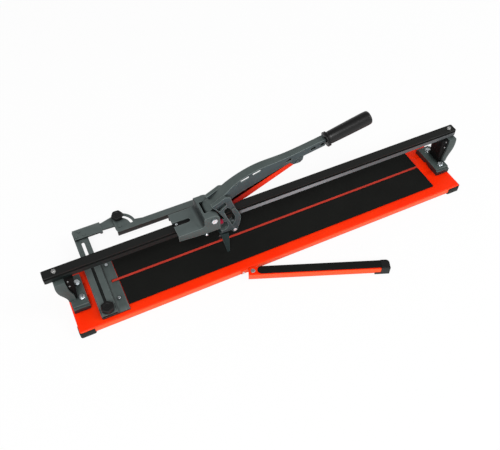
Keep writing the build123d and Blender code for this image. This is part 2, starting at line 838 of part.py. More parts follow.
bush_radius = pivot_bolt / 2 + 0.05 + bush_wall


plan_rise = 180.0


def lever_top_at(x):
    for (x0, z0), (x1, z1) in zip(lever_top, lever_top[1:]):
        if x0 <= x <= x1:
            return z0 + (z1 - z0) * (x - x0) / (x1 - x0)
    return lever_top[-1][1]


def plan_outline(inset):
    """Half outline of the lever seen from above, mirrored into a full one."""
    rear = [(x, y - inset) for x, y in plan_edge]
    front = [(x, -y) for x, y in rear]
    with BuildLine() as outline:
        back_line = Spline(*rear)
        front_line = Spline(*front)
        Line(back_line @ 1, front_line @ 1)
        hub_end = pivot_x - hub_radius - 1
        Polyline(back_line @ 0, (hub_end, rear[0][1]), (hub_end, front[0][1]), front_line @ 0)
    return outline.line


with BuildPart() as lever_core:
    with BuildSketch(Plane.XZ):
        with BuildLine():
            inner = [(x, z - lever_top_wall) for x, z in lever_top if core_left < x < core_right]
            start = (core_left, lever_top_at(core_left) - lever_top_wall)
            finish = (core_right, lever_top_at(core_right) - lever_top_wall)
            roof = Spline(start, *inner, finish)
            Polyline(roof @ 1, (core_right, core_floor), (core_left, core_floor), roof @ 0)
        make_face()
    extrude(amount=gap_half, both=True)
    with BuildSketch(Plane.XY.offset(core_floor)):
        add(plan_outline(lever_side_wall))
        make_face()
    extrude(amount=plan_rise, mode=Mode.INTERSECT)

cheek_front = [(-129.4, 234), (-122, 202), (-109, 166), (-101.5, 145), (-104, 116), (-112, fork_lug)]
cheek_foot = [(-112, fork_lug), (-126, fork_lug - 1), (-131, bridge_bottom)]
cheek_foot += [(-157.5, bridge_bottom), (-158, 101), (-140, 112.5)]
cheek_back = [(-140, 112.5), (-142, 138), (-154, 166), (-163, 185)]
cheek_head = [(-163, 185), (-183, 219), (-144, 239), (-129.4, 234)]
upper_window = [(-174.5, 211), (-145, 224), (-141, 208), (-163, 192)]
lower_window = [(-150.6, 189), (-139.5, 197.5), (-131, 189), (-116.5, 147), (-118.5, 128), (-127, 113), (-135, 139), (-143, 160)]
cheek_root = [(-183, 219), (-144, 239), (-131, 234), (-124, 208), (-141, 200), (-166, 190)]
lug = [(56, 268), (66, 260.5), (84, 260.5), (92, 267), (94, 280), (56, 274)]
lug_inner = 7.6
lug_outer = 11.6
cheek_web = 13.5
upper_pin = (76.0, 267.0)
lower_pin = (-122.0, 184.0)
pin_radius = 3.0
grip_start = Vector(grip_x, 0, grip_z)
grip_axis = Vector(cos(radians(grip_slope)), 0, sin(radians(grip_slope)))
grip_plane = Plane(origin=grip_start, x_dir=grip_axis, z_dir=(0, -1, 0))
stop_lug_x = end_face + buffer_length + 0.3
stop_lug_height = 12.0
lug_root_x = -144.0
cheek_face = cheek_inner + cheek_plate
breaker_screw = 5.0
breaker_screw_y = 13.0
breaker_screw_reach = 6.0
holder_screw_size = 5.0
fork_screw_x = -119.5
fork_screw_z = 92.5
fork_screw_size = 5.0
holder_screw_z = 100.5

with BuildPart() as lever:
    with BuildSketch(Plane.XZ):
        with BuildLine():
            upper = Spline(*lever_top)
            lower = Spline(*lever_bottom)
            Line(upper @ 1, lower @ 0)
            Polyline(*lever_root, upper @ 0)
        make_face()
        with Locations((pivot_x, pivot_z)):
            Circle(hub_radius)
    extrude(amount=gap_half, both=True)
    with BuildSketch(Plane.XY.offset(core_floor - hub_radius)):
        add(plan_outline(0))
        make_face()
    extrude(amount=plan_rise, mode=Mode.INTERSECT)
    with BuildSketch(Plane(origin=grip_start - grip_axis * tang_root, z_dir=grip_axis)):
        Circle(tang_radius)
    extrude(amount=tang_root + tang_length)
    add(lever_core.part, mode=Mode.SUBTRACT)
    for side in (-1, 1):
        with BuildSketch(Plane.XZ.offset(side * cheek_web)):
            Polygon(*cheek_root, align=None)
        extrude(amount=side * (cheek_inner - cheek_web))
        with BuildSketch(Plane.XZ.offset(side * cheek_inner)):
            with BuildLine():
                Spline(*cheek_front)
                Polyline(*cheek_foot)
                Spline(*cheek_back)
                Polyline(*cheek_head)
            make_face()
            for window in (upper_window, lower_window):
                with BuildSketch(mode=Mode.PRIVATE) as opening:
                    Polygon(*window, align=None)
                    fillet(opening.vertices(), 2.0)
                add(opening.sketch, mode=Mode.SUBTRACT)
            with Locations(lower_pin):
                Circle(pin_radius + thread_gap, mode=Mode.SUBTRACT)
        extrude(amount=side * cheek_plate)
        with BuildSketch(Plane.XZ.offset(side * lug_inner)):
            Polygon(*lug, align=None)
            with Locations(upper_pin):
                Circle(pin_radius + thread_gap, mode=Mode.SUBTRACT)
        extrude(amount=side * (lug_outer - lug_inner))
    with BuildSketch(Plane.XY.offset(bridge_bottom)):
        with Locations(((bridge_left + bridge_right) / 2, 0)):
            Rectangle(bridge_right - bridge_left, 2 * (cheek_inner + cheek_plate))
        with Locations((holder_x, 0)):
            Rectangle(holder_length + 2 * fit, holder_width + 2 * fit, mode=Mode.SUBTRACT)
    extrude(amount=bridge_top - bridge_bottom)
    with BuildSketch(Plane.XY.offset(bridge_bottom)):
        with Locations((holder_x, -breaker_screw_y), (holder_x, breaker_screw_y)):
            Circle(breaker_screw / 2 + thread_gap)
    extrude(amount=breaker_screw_reach + 1, mode=Mode.SUBTRACT)
    with BuildSketch(Plane.XZ.offset(cheek_face)):
        with Locations((fork_screw_x, fork_screw_z)):
            Circle(fork_screw_size / 2 + thread_gap)
    extrude(amount=-2 * cheek_face, mode=Mode.SUBTRACT)
    with BuildSketch(Plane.YZ.offset(bridge_right)):
        with Locations((0, holder_screw_z)):
            Circle(holder_screw_size / 2 + thread_gap)
    extrude(amount=holder_x - bridge_right, mode=Mode.SUBTRACT)
    with BuildSketch(Plane.XZ.offset(cheek_inner)):
        with Locations(((stop_lug_x + lug_root_x) / 2, buffer_z)):
            Rectangle(lug_root_x - stop_lug_x, stop_lug_height)
    extrude(amount=cheek_plate)
    for x0, x1 in lever_slots:
        slot = [(x0, lever_top_at(x0) - slot_drop), (x1, lever_top_at(x1) - slot_drop)]
        slot += [(x, z - slot_height) for x, z in reversed(slot)]
        with BuildSketch(Plane.XZ.offset(slot_face)):
            Polygon(*slot, align=None)
        extrude(amount=slot_reach, dir=slot_lean, both=True, mode=Mode.SUBTRACT)
    with BuildSketch(Plane.XZ.offset(-window_start)):
        Polygon(*rear_window, align=None)
    extrude(amount=-hub_side, mode=Mode.SUBTRACT)
    for x, z, pocket_length in neck_pockets:
        for side in (-1, 1):
            with BuildSketch(Plane.XZ.offset(side * pocket_floor)):
                with Locations((x, z)):
                    SlotOverall(pocket_length, pocket_height, rotation=grip_slope)
            extrude(amount=side * hub_side, mode=Mode.SUBTRACT)
    with BuildSketch(Plane.XZ.offset(hub_side)):
        with Locations((pivot_x, pivot_z)):
            Circle(bush_radius + 0.05)
    extrude(amount=-2 * hub_side, mode=Mode.SUBTRACT)
save(lever.part, "lever")

with BuildPart() as pivot_bush:
    with BuildSketch(Plane.XZ.offset(hub_side)):
        with Locations((pivot_x, pivot_z)):
            Circle(bush_radius)
            Circle(pivot_bolt / 2 + 0.05, mode=Mode.SUBTRACT)
    extrude(amount=-2 * hub_side)
save(pivot_bush.part, "pivot_bush")

# ---------------------------------------------------------------- strut between fork and lever

strut_half = 7.0
strut_wall = 2.0
strut_floor = 3.0
barrel_radius = 6.0
strut_side = [(79.2, 260.8), (-77.5, 188.7), (-119.5, 178.5), (-126, 188.5), (-86.2, 205.6), (73, 273.2)]

with BuildPart() as strut:
    with BuildSketch(Plane.XZ):
        Polygon(*strut_side, align=None)
        with Locations(upper_pin):
            Circle(strut_half - 0.2)
    extrude(amount=strut_half, both=True)
    with BuildSketch(Plane.XZ):
        with Locations((-strut_floor / 2, strut_floor)):
            Polygon(*strut_side, align=None)
        for pin in (lower_pin, upper_pin):
            with Locations(pin):
                Circle(barrel_radius + strut_floor, mode=Mode.SUBTRACT)
    extrude(amount=strut_half - strut_wall, both=True, mode=Mode.SUBTRACT)
    with BuildSketch(Plane.XZ):
        with Locations(lower_pin):
            Circle(barrel_radius)
    extrude(amount=cheek_inner - 0.2, both=True)
    with BuildSketch(Plane.XZ):
        with Locations(lower_pin, upper_pin):
            Circle(pin_radius + thread_gap)
    extrude(amount=cheek_inner, both=True, mode=Mode.SUBTRACT)
save(strut.part, "strut")

with BuildPart() as strut_pins:
    for pin, half_length in ((lower_pin, cheek_inner + cheek_plate), (upper_pin, lug_outer)):
        with BuildSketch(Plane.XZ):
            with Locations(pin):
                Circle(pin_radius)
        extrude(amount=half_length, both=True)
        for side in (-1, 1):
            with BuildSketch(Plane.XZ.offset(side * half_length)):
                with Locations(pin):
                    Circle(pin_radius + 1.8)
            extrude(amount=side * 1.6)
save(strut_pins.part, "strut_pins")

# ---------------------------------------------------------------- hand grip

grip_bore = tang_radius + 0.1
grip_neck = 16.0
grip_collar = 21.5
grip_front = 17.2
grip_back = 20.0
grip_round = 9.0

with BuildPart() as grip:
    with BuildSketch(grip_plane):
        with BuildLine():
            Polyline(
                (tang_length + 1, 0),
                (tang_length + 1, grip_bore),
                (0, grip_bore),
                (0, grip_collar - 2),
                (2, grip_collar),
                (8, grip_collar),
                (10, grip_collar - 2),
                (10.5, grip_neck),
                (14, grip_neck),
                (16, grip_front),
            )
            Line((16, grip_front), (grip_length - grip_round, grip_back))
            Spline(
                (grip_length - grip_round, grip_back),
                (grip_length - 0.3 * grip_round, grip_back - 0.25 * grip_round),
                (grip_length, grip_back - grip_round),
                tangents=[(1, 0), (0, -1)],
            )
            Polyline((grip_length, grip_back - grip_round), (grip_length, 0), (tang_length + 1, 0))
        make_face()
    revolve(axis=Axis(grip_plane.origin, grip_plane.x_dir), revolution_arc=360)
save(grip.part, "grip")

# ---------------------------------------------------------------- breaker foot, wheel holder and wheel

wing_top = 91.5
wing_bottom = 84.0
wing_half = 27.0
boss_half = 20.0
wing_left = 13.0
wing_right = 9.0
tip_left = 6.0
tip_right = 0.5

with BuildPart() as breaker_foot:
    with BuildSketch(Plane.YZ.offset(holder_x - wing_left)):
        with BuildLine():
            right = [
                (boss_half, bridge_bottom),
                (boss_half, wing_top),
                (wing_half + 2, wing_top),
                (wing_tip_y + 3.5, wing_tip_z + 3),
                (wing_tip_y + 2, wing_tip_z),
                (wing_tip_y - 2.5, wing_tip_z),
                (wing_half - 3, wing_bottom),
            ]
            Polyline([(-y, z) for y, z in right[::-1]] + right, close=True)
        make_face()
    extrude(amount=wing_left + wing_right)
    with BuildSketch(Plane.XZ):
        with BuildLine():
            Polyline(
                (holder_x - wing_left, bridge_bottom),
                (holder_x - wing_left, wing_bottom),
                (holder_x - tip_left, wing_tip_z),
                (holder_x + tip_right, wing_tip_z),
                (holder_x + wing_right, wing_bottom),
                (holder_x + wing_right, bridge_bottom),
                close=True,
            )
        make_face()
    extrude(amount=wing_tip_y + 10, both=True, mode=Mode.INTERSECT)
    with BuildSketch(Plane.XY.offset(wing_bottom)):
        with Locations((holder_x, 0)):
            Rectangle(holder_length + 2 * fit, holder_width + 2 * fit)
        with Locations((holder_x, -breaker_screw_y), (holder_x, breaker_screw_y)):
            Circle(breaker_screw / 2 + thread_gap)
    extrude(amount=bridge_bottom - wing_bottom, mode=Mode.SUBTRACT)
save(breaker_foot.part, "breaker_foot")

with BuildPart() as breaker_screws:
    for radius, bottom, top in (
        (breaker_screw - 0.7, wing_bottom - 3, wing_bottom),
        (breaker_screw / 2, wing_bottom, bridge_bottom + breaker_screw_reach),
    ):
        with BuildSketch(Plane.XY.offset(bottom)):
            with Locations((holder_x, -breaker_screw_y), (holder_x, breaker_screw_y)):
                Circle(radius)
        extrude(amount=top - bottom)
save(breaker_screws.part, "breaker_screws")

with BuildPart() as fork_screw:
    with BuildSketch(Plane.XZ.offset(cheek_face)):
        with Locations((fork_screw_x, fork_screw_z)):
            Circle(fork_screw_size)
    extrude(amount=3)
    fillet(fork_screw.faces().sort_by(Axis.Y)[0].edges(), 0.8)
    with BuildSketch(Plane.XZ.offset(cheek_face)):
        with Locations((fork_screw_x, fork_screw_z)):
            Circle(fork_screw_size / 2)
    extrude(amount=-2 * cheek_face)
    with BuildSketch(Plane.XZ.offset(-cheek_face)):
        with Locations((fork_screw_x, fork_screw_z)):
            RegularPolygon(hex_radius(8), 6)
    extrude(amount=-4)
save(fork_screw.part, "fork_screw")

with BuildPart() as holder_screw:
    with BuildSketch(Plane.YZ.offset(bridge_right)):
        with Locations((0, holder_screw_z)):
            Circle(holder_screw_size - 0.5)
    extrude(amount=5)
    with BuildSketch(Plane.YZ.offset(bridge_right)):
        with Locations((0, holder_screw_z)):
            Circle(holder_screw_size / 2)
    extrude(amount=holder_x + holder_length / 2 + 0.02 - bridge_right)
save(holder_screw.part, "holder_screw")

holder_bottom = 44.0
wheel_slot = wheel_width + 0.6

with BuildPart() as wheel_holder:
    with BuildSketch(Plane.XY.offset(holder_bottom)):
        with Locations((holder_x, 0)):
            Rectangle(holder_length, holder_width)
    extrude(amount=holder_top - holder_bottom)
    with BuildSketch(Plane.XY.offset(holder_bottom)):
        with Locations((holder_x, 0)):
            Rectangle(holder_length, wheel_slot)
    extrude(amount=wheel_z + wheel_radius + 1.5 - holder_bottom, mode=Mode.SUBTRACT)
    with BuildSketch(Plane.XZ.offset(holder_width / 2)):
        with Locations((holder_x, wheel_z)):
            Circle(wheel_axle / 2 + thread_gap)
    extrude(amount=-holder_width, mode=Mode.SUBTRACT)
save(wheel_holder.part, "wheel_holder")

with BuildPart() as wheel_axle_part:
    with BuildSketch(Plane.XZ):
        with Locations((holder_x, wheel_z)):
            Circle(wheel_axle / 2)
    extrude(amount=holder_width / 2, both=True)
    for side in (-1, 1):
        with BuildSketch(Plane.XZ.offset(side * holder_width / 2)):
            with Locations((holder_x, wheel_z)):
                Circle(wheel_axle / 2 + 1.4)
        extrude(amount=side * 1.2)
save(wheel_axle_part.part, "wheel_axle")

with BuildPart() as scoring_wheel:
    half_wheel = wheel_width / 2
    bore_z = wheel_z + wheel_axle / 2 + 0.05
    with BuildSketch(Plane.YZ.offset(holder_x)):
        Polygon(
            (-half_wheel, bore_z),
            (half_wheel, bore_z),
            (half_wheel, wheel_z + wheel_radius - 2.4),
            (0.2, wheel_z + wheel_radius),
            (-0.2, wheel_z + wheel_radius),
            (-half_wheel, wheel_z + wheel_radius - 2.4),
            align=None,
        )
    revolve(axis=Axis((holder_x, 0, wheel_z), (0, 1, 0)), revolution_arc=360)
save(scoring_wheel.part, "scoring_wheel")

# ---------------------------------------------------------------- side stop

head_top = bar_top + head_thickness
head_rivet = 5.0
rivet_spread = 11.0
rivet_rows = (head_front + 10.0, head_front + 26.0)
rivet_spots = [(bar_x - rivet_spread, rivet_rows[0]), (bar_x + rivet_spread, rivet_rows[0]), (bar_x, rivet_rows[1])]

with BuildPart() as stop_bar:
    with BuildSketch(Plane.XY.offset(bar_bottom)):
        with Locations((bar_x, (bar_front + bar_back) / 2)):
            Rectangle(bar_width, bar_back - bar_front)
        with Locations((bar_x, (bar_slot_front + bar_slot_back) / 2)):
            SlotOverall(bar_slot_back - bar_slot_front, bar_slot_width, rotation=90, mode=Mode.SUBTRACT)
        with Locations(*rivet_spots):
            Circle(head_rivet / 2 + thread_gap, mode=Mode.SUBTRACT)
    extrude(amount=bar_thickness)
save(stop_bar.part, "stop_bar")

knob_angle = radians(angle_knob_at)
angle_stud_x = arm_pivot_x + quadrant_slot_radius * cos(knob_angle)
angle_stud_y = arm_pivot_y + quadrant_slot_radius * sin(knob_angle)
tongue_side = 13.5
tongue_reach = 11.0

with BuildPart() as stop_head:
    with BuildSketch(Plane.XY.offset(bar_top)):
        with Locations(((head_left + head_right) / 2, (head_front + bar_back) / 2)):
            Rectangle(head_right - head_left, bar_back - head_front)
        Polygon(
            (head_right - 5, tongue_front),
            (arm_pivot_x - tongue_side, tongue_front - 2.5),
            (arm_pivot_x - tongue_side, arm_pivot_y),
            (arm_pivot_x + tongue_side, arm_pivot_y),
            (arm_pivot_x + tongue_side, angle_stud_y + tongue_reach),
            (arm_pivot_x - tongue_side, angle_stud_y + tongue_reach),
            (head_right + 2, tongue_back),
            (head_right - 5, tongue_back),
            align=None,
        )
        with Locations((arm_pivot_x, arm_pivot_y)):
            Circle(tongue_side)
            Circle(arm_pivot_rivet_size / 2 + fit, mode=Mode.SUBTRACT)
        with Locations((angle_stud_x, angle_stud_y)):
            Circle(angle_stud / 2 + thread_gap, mode=Mode.SUBTRACT)
        with Locations((head_right - head_tab, head_front)):
            Circle(head_tab)
    extrude(amount=head_thickness)
    with BuildSketch(Plane.XY.offset(head_top)):
        with Locations(((head_left + head_right) / 2, (head_front + bar_back) / 2)):
            Rectangle(head_right - head_left, bar_back - head_front)
        with Locations((head_right - head_tab, head_front)):
            Circle(head_tab)
    extrude(amount=head_cover)
    with BuildSketch(Plane.XY.offset(bar_top)):
        with Locations(*rivet_spots):
            Circle(head_rivet / 2 + thread_gap)
    extrude(amount=head_thickness + head_cover, mode=Mode.SUBTRACT)
save(stop_head.part, "stop_head")

with BuildPart() as head_rivets:
    with BuildSketch(Plane.XY.offset(bar_bottom)):
        with Locations(*rivet_spots):
            Circle(head_rivet / 2)
    extrude(amount=head_top + head_cover - bar_bottom)
    with BuildSketch(Plane.XY.offset(head_top + head_cover)):
        with Locations(*rivet_spots):
            Circle(head_rivet - 0.5)
    extrude(amount=1.4)
    fillet(head_rivets.faces().filter_by(Axis.Z).group_by(Axis.Z)[-1].edges(), 0.9)
save(head_rivets.part, "head_rivets")

arm_thickness = 4.0
arm_top = head_top + arm_thickness
arm_knob_bottom = arm_top + 0.3
clamp_knob_bottom = bar_top + 0.6

with BuildPart() as arm_pivot_rivet:
    for radius, bottom, top in (
        (arm_pivot_rivet_size, bar_top - 2, bar_top),
        (arm_pivot_rivet_size / 2, bar_top, arm_top + 0.2),
        (arm_pivot_rivet_size - 1, arm_top + 0.2, arm_top + 1.8),
    ):
        with BuildSketch(Plane.XY.offset(bottom)):
            with Locations((arm_pivot_x, arm_pivot_y)):
                Circle(radius)
        extrude(amount=top - bottom)
    fillet(arm_pivot_rivet.faces().sort_by(Axis.Z)[-1].edges(), 1.0)
save(arm_pivot_rivet.part, "arm_pivot_rivet")

with BuildPart() as angle_stud_part:
    with BuildSketch(Plane.XY.offset(bar_top - 2.5)):
        with Locations((angle_stud_x, angle_stud_y)):
            RegularPolygon(hex_radius(10), 6)
    extrude(amount=2.5)
    with BuildSketch(Plane.XY.offset(bar_top)):
        with Locations((angle_stud_x, angle_stud_y)):
            Circle(angle_stud / 2)
    extrude(amount=arm_knob_bottom + angle_knob_height - stud_cover - bar_top)
save(angle_stud_part.part, "angle_stud")

with BuildPart() as clamp_stud_part:
    with BuildSketch(Plane.XY.offset(base_top)):
        with Locations((bar_x, clamp_knob_y)):
            Circle(clamp_stud / 2)
    extrude(amount=clamp_knob_bottom + clamp_knob_height - stud_cover - base_top)
save(clamp_stud_part.part, "clamp_stud")

knob(bar_x, clamp_knob_y, clamp_knob_bottom, clamp_knob_radius, clamp_knob_height, clamp_stud, "clamp_knob")
knob(angle_stud_x, angle_stud_y, arm_knob_bottom, angle_knob_radius, angle_knob_height, angle_stud, "angle_knob")

with BuildPart() as angle_arm:
    with BuildSketch(Plane.XY.offset(head_top)):
        with Locations((arm_pivot_x, arm_pivot_y)):
            Circle(quadrant_radius)
        with Locations(((arm_left + arm_pivot_x + quadrant_radius) / 2, arm_front + quadrant_radius)):
            Rectangle(arm_pivot_x + quadrant_radius - arm_left, 2 * quadrant_radius, mode=Mode.INTERSECT)
        with Locations(((arm_left + arm_right) / 2, arm_front + arm_width / 2)):
            Rectangle(arm_right - arm_left, arm_width)
        quadrant_edge = arm_pivot_x + quadrant_radius
        Polygon(
            (quadrant_edge - 12, arm_front + arm_width - 1),
            (quadrant_edge + 27, arm_front + arm_width - 1),
            (quadrant_edge + 16, arm_front + arm_width + 1.5),
            (quadrant_edge - 1, arm_front + arm_width + 5),
            align=None,
        )
        with BuildSketch(mode=Mode.PRIVATE) as quadrant_slot:
            with BuildLine(mode=Mode.PRIVATE) as slot_line:
                slot_from = angle_knob_at - arm_swing - 1
                CenterArc((arm_pivot_x, arm_pivot_y), quadrant_slot_radius, slot_from, arm_swing + 2)
            SlotArc(slot_line.edges()[0], quadrant_slot_width)
        add(quadrant_slot.sketch, mode=Mode.SUBTRACT)
        with Locations((arm_pivot_x, arm_pivot_y)):
            Circle(arm_pivot_rivet_size / 2 + 0.05, mode=Mode.SUBTRACT)
    extrude(amount=arm_thickness)
    with BuildSketch(Plane.XY.offset(head_top - arm_flange + arm_thickness)):
        with Locations(((arm_left + arm_right) / 2, arm_front + arm_sheet / 2)):
            Rectangle(arm_right - arm_left, arm_sheet)
    extrude(amount=arm_flange - arm_thickness)
save(angle_arm.part, "angle_arm")
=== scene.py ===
import json
import math

import bmesh
import bpy
from mathutils import Matrix, Vector


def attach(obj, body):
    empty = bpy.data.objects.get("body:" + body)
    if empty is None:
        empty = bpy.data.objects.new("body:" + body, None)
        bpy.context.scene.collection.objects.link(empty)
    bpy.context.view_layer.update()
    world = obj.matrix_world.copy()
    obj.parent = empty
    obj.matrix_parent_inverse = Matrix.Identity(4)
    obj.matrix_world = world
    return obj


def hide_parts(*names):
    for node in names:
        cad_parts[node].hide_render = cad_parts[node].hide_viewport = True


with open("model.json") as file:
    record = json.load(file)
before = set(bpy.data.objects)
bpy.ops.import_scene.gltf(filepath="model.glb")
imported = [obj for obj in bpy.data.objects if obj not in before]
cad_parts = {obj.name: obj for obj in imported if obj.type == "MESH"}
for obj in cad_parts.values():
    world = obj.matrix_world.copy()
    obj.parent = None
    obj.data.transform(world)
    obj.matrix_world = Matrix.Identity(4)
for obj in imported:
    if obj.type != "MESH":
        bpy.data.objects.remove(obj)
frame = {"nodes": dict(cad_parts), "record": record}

nodes = frame["nodes"]
groups = frame["record"]["behaviour"]["bodies"]
bodyOf = {node: body for body, members in groups.items() for node in members}
slotOf = {part["node"]: part["material_slot"] for part in frame["record"]["subparts"]}
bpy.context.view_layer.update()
mm = 0.001


# ---- camera

cameraSettings = {
    "place": (-0.5454, -1.0281, 1.4904),
    "turn": 25.234,    # degrees from +Y towards +X
    "tilt": 51.706,    # degrees below level
    "roll": 0.157,
    "lens": 45.163,
    "sensor": 36.0,
}


def makeCamera(settings):
    turn, tilt, roll = (math.radians(settings[key]) for key in ("turn", "tilt", "roll"))
    ahead = Vector((math.sin(turn) * math.cos(tilt), math.cos(turn) * math.cos(tilt), -math.sin(tilt)))
    right = Vector((math.cos(turn), -math.sin(turn), 0))
    down = ahead.cross(right)
    side = right * math.cos(roll) + down * math.sin(roll)
    up = right * math.sin(roll) - down * math.cos(roll)
    data = bpy.data.cameras.new("camera")
    data.lens = settings["lens"]
    data.sensor_width = settings["sensor"]
    data.clip_start = 0.05
    data.clip_end = 30
    camera = bpy.data.objects.new("camera", data)
    bpy.context.scene.collection.objects.link(camera)
    axes = Matrix((side, up, -ahead)).transposed().to_4x4()
    camera.matrix_world = Matrix.Translation(settings["place"]) @ axes
    bpy.context.scene.camera = camera


# ---- writing node trees

class Wire:
    # a node's output, so that sums on it read as plain maths
    def __init__(self, graph, socket):
        self.graph = graph
        self.socket = socket

    def sums(self, operation, first, second=0.0):
        return self.graph.node("ShaderNodeMath", {"operation": operation}, {0: first, 1: second})

    def __add__(self, other):
        return self.sums("ADD", self, other)

    def __sub__(self, other):
        return self.sums("SUBTRACT", self, other)

    def __rsub__(self, other):
        return self.sums("SUBTRACT", other, self)

    def __mul__(self, other):
        return self.sums("MULTIPLY", self, other)

    def __truediv__(self, other):
        return self.sums("DIVIDE", self, other)

    def __rtruediv__(self, other):
        return self.sums("DIVIDE", other, self)

    def __gt__(self, other):
        return self.sums("GREATER_THAN", self, other)

    def __lt__(self, other):
        return self.sums("LESS_THAN", self, other)

    __radd__ = __add__
    __rmul__ = __mul__


class Graph:
    # any node tree, with one way to add a node
    def __init__(self, tree):
        self.tree = tree

    def plug(self, value, socket):
        if isinstance(value, Wire):
            self.tree.links.new(value.socket, socket)
        else:
            socket.default_value = value

    def node(self, kind, settings, values, output=0):
        made = self.tree.nodes.new(kind)
        for name, value in settings.items():
            if name == "stops":
                for index, (place, shade) in enumerate(value):
                    stop = made.color_ramp.elements[index] if index < 2 else made.color_ramp.elements.new(place)
                    stop.position = place
                    stop.color = (shade, shade, shade, 1)
            else:
                setattr(made, name, value)
        for socket, value in values.items():
            self.plug(value, made.inputs[socket])
        return Wire(self, made.outputs[output])


class Finish(Graph):
    # one material: its shader, and the nodes that drive it
    def __init__(self, name, colour, roughness, **fixed):
        self.material = bpy.data.materials.new(name)
        self.material.use_nodes = True
        super().__init__(self.material.node_tree)
        self.shader = self.tree.nodes["Principled BSDF"]
        self.give("Base Color", (*colour, 1))
        self.give("Roughness", roughness)
        for socket, value in fixed.items():
            self.give(socket.replace("_", " "), value)
        self.material.diffuse_color = (*colour, 1)

    def give(self, socket, value):
        self.plug(value, self.shader.inputs[socket])

    def place(self):
        return self.node("ShaderNodeTexCoord", {}, {}, "Object")

    def axis(self, letter):
        return self.node("ShaderNodeSeparateXYZ", {}, {0: self.place()}, letter)

    def noise(self, scale, detail=3.0, stretch=(1, 1, 1)):
        spot = self.node("ShaderNodeMapping", {}, {"Vector": self.place(), "Scale": stretch})
        return self.node("ShaderNodeTexNoise", {}, {"Vector": spot, "Scale": scale, "Detail": detail}, "Fac")

    def ramp(self, value, stops):
        return self.node("ShaderNodeValToRGB", {"stops": stops}, {0: value})

    def mix(self, share, first, second):
        return self.node("ShaderNodeMix", {"data_type": "RGBA"}, {0: share, 6: first, 7: second}, 2)

    def hollow(self, reach, stops):
        # 1 deep in a corner or a pocket, 0 out on the open faces
        open_ = self.node("ShaderNodeAmbientOcclusion", {"samples": 8}, {"Distance": reach}, "AO")
        return self.ramp(open_, stops)

    def edge(self, radius):
        # 1 along an edge, 0 on the flats
        rounded = self.node("ShaderNodeBevel", {"samples": 6}, {"Radius": radius})
        flat = self.node("ShaderNodeNewGeometry", {}, {}, "True Normal")
        alike = self.node("ShaderNodeVectorMath", {"operation": "DOT_PRODUCT"}, {0: rounded, 1: flat}, "Value")
        return self.ramp(alike, ((0.8, 1), (0.97, 0)))

    def facing(self, letter):
        flat = self.node("ShaderNodeNewGeometry", {}, {}, "Normal")
        return self.node("ShaderNodeSeparateXYZ", {}, {0: flat}, letter)

    def upright(self):
        # 1 on faces that stand up, 0 on faces that look up
        return self.ramp(self.facing("Z"), ((0.15, 1), (0.7, 0)))

    def bump(self, height, strength, distance):
        values = {"Height": height, "Strength": strength, "Distance": distance}
        self.give("Normal", self.node("ShaderNodeBump", {}, values, "Normal"))


def rgba(colour, share=1.0):
    return (colour[0] * share, colour[1] * share, colour[2] * share, 1)


# ---- finishes

# metres added to X, so that the places a ramp works on lie between 0 and 1
rampShift = 0.5

# the second colour serves thin patches and a painted highlight on the edges; front is painted light on upright faces;
# shade is painted shade in corners
paintSettings = {
    "name": "orangePaint", "colour": (0.98, 0.023, 0.0006), "thin": (0.99, 0.05, 0.002), "front": (0.97, 0.11, 0.026),
    "shade": (0.3, 0.006, 0.001), "depth": 0.7, "reach": 12, "open": ((0.3, 1), (0.8, 0)), "rim": 2, "roughness": 0.34,
    "sheen": 0.16, "peel": 420,
}
# strut: painted shade, near black inside its channel, darker on its upright faces and darker towards its left end
strutSettings = paintSettings | {
    "name": "strutPaint", "shade": (0.003, 0.0015, 0.0015), "depth": 1.0, "reach": 22, "front": (0.62, 0.02, 0.002),
    "dusk": (0.2, 0.003, 0.001), "fade": ((0.40, 1), (0.49, 0)),
}


def makePaint(settings):
    # the coat is thinner in patches; the edges get a painted highlight, the upright faces painted light, and the
    # corners painted shade
    paint = Finish(settings["name"], settings["colour"], settings["roughness"], Specular_IOR_Level=settings["sheen"])
    patches = paint.ramp(paint.noise(9, 4), ((0.35, 0), (0.75, 1)))
    hollow = paint.hollow(settings["reach"] * mm, settings["open"])
    # thin patches, and a painted highlight along the edges
    patchesAndHighlight = patches * 0.4 + paint.edge(settings["rim"] * mm) * 0.6
    colour = paint.mix(patchesAndHighlight, rgba(settings["colour"]), rgba(settings["thin"]))
    # painted light: upright faces take the front colour, lighter and more orange on the paint, darker on the strut
    colour = paint.mix(paint.upright() * 0.8, colour, rgba(settings["front"]))
    # painted shade: darker towards the left end of the piece
    if "fade" in settings:
        along = paint.axis("X") + rampShift
        colour = paint.mix(paint.ramp(along, settings["fade"]), colour, rgba(settings["dusk"]))
    # painted shade: corners and pockets take the shade colour
    paint.give("Base Color", paint.mix(hollow * settings["depth"], colour, rgba(settings["shade"])))
    paint.give("Roughness", settings["roughness"] + patches * 0.08)
    paint.bump(paint.noise(settings["peel"], 2), 0.12, 0.0004)
    return paint.material


# side is painted shade on upright faces, pocket painted shade in pockets, and the edge colour a painted highlight
castingSettings = {
    "name": "greyCasting", "colour": (0.056, 0.073, 0.07), "light": (0.088, 0.108, 0.103), "worn": (0.26, 0.3, 0.295),
    "wear": 0.5, "rim": 2.2, "pocket": (0.003, 0.004, 0.004), "sides": 0.6, "side": (0.045, 0.062, 0.06),
    "roughness": 0.42, "sheen": 0.35, "reach": 16, "open": ((0.3, 1), (0.85, 0)), "grain": 900,
}
carriageSettings = castingSettings | {
    "name": "carriageCasting", "colour": (0.07, 0.088, 0.086), "light": (0.105, 0.126, 0.122),
    "lee": (0.016, 0.021, 0.021),
}
# lever: stronger painted shade on its upright faces
leverSettings = castingSettings | {
    "name": "leverCasting", "sides": 0.8, "side": (0.03, 0.046, 0.052), "wear": 0.7, "reach": 10,
    "open": ((0.5, 1), (0.93, 0)),
}
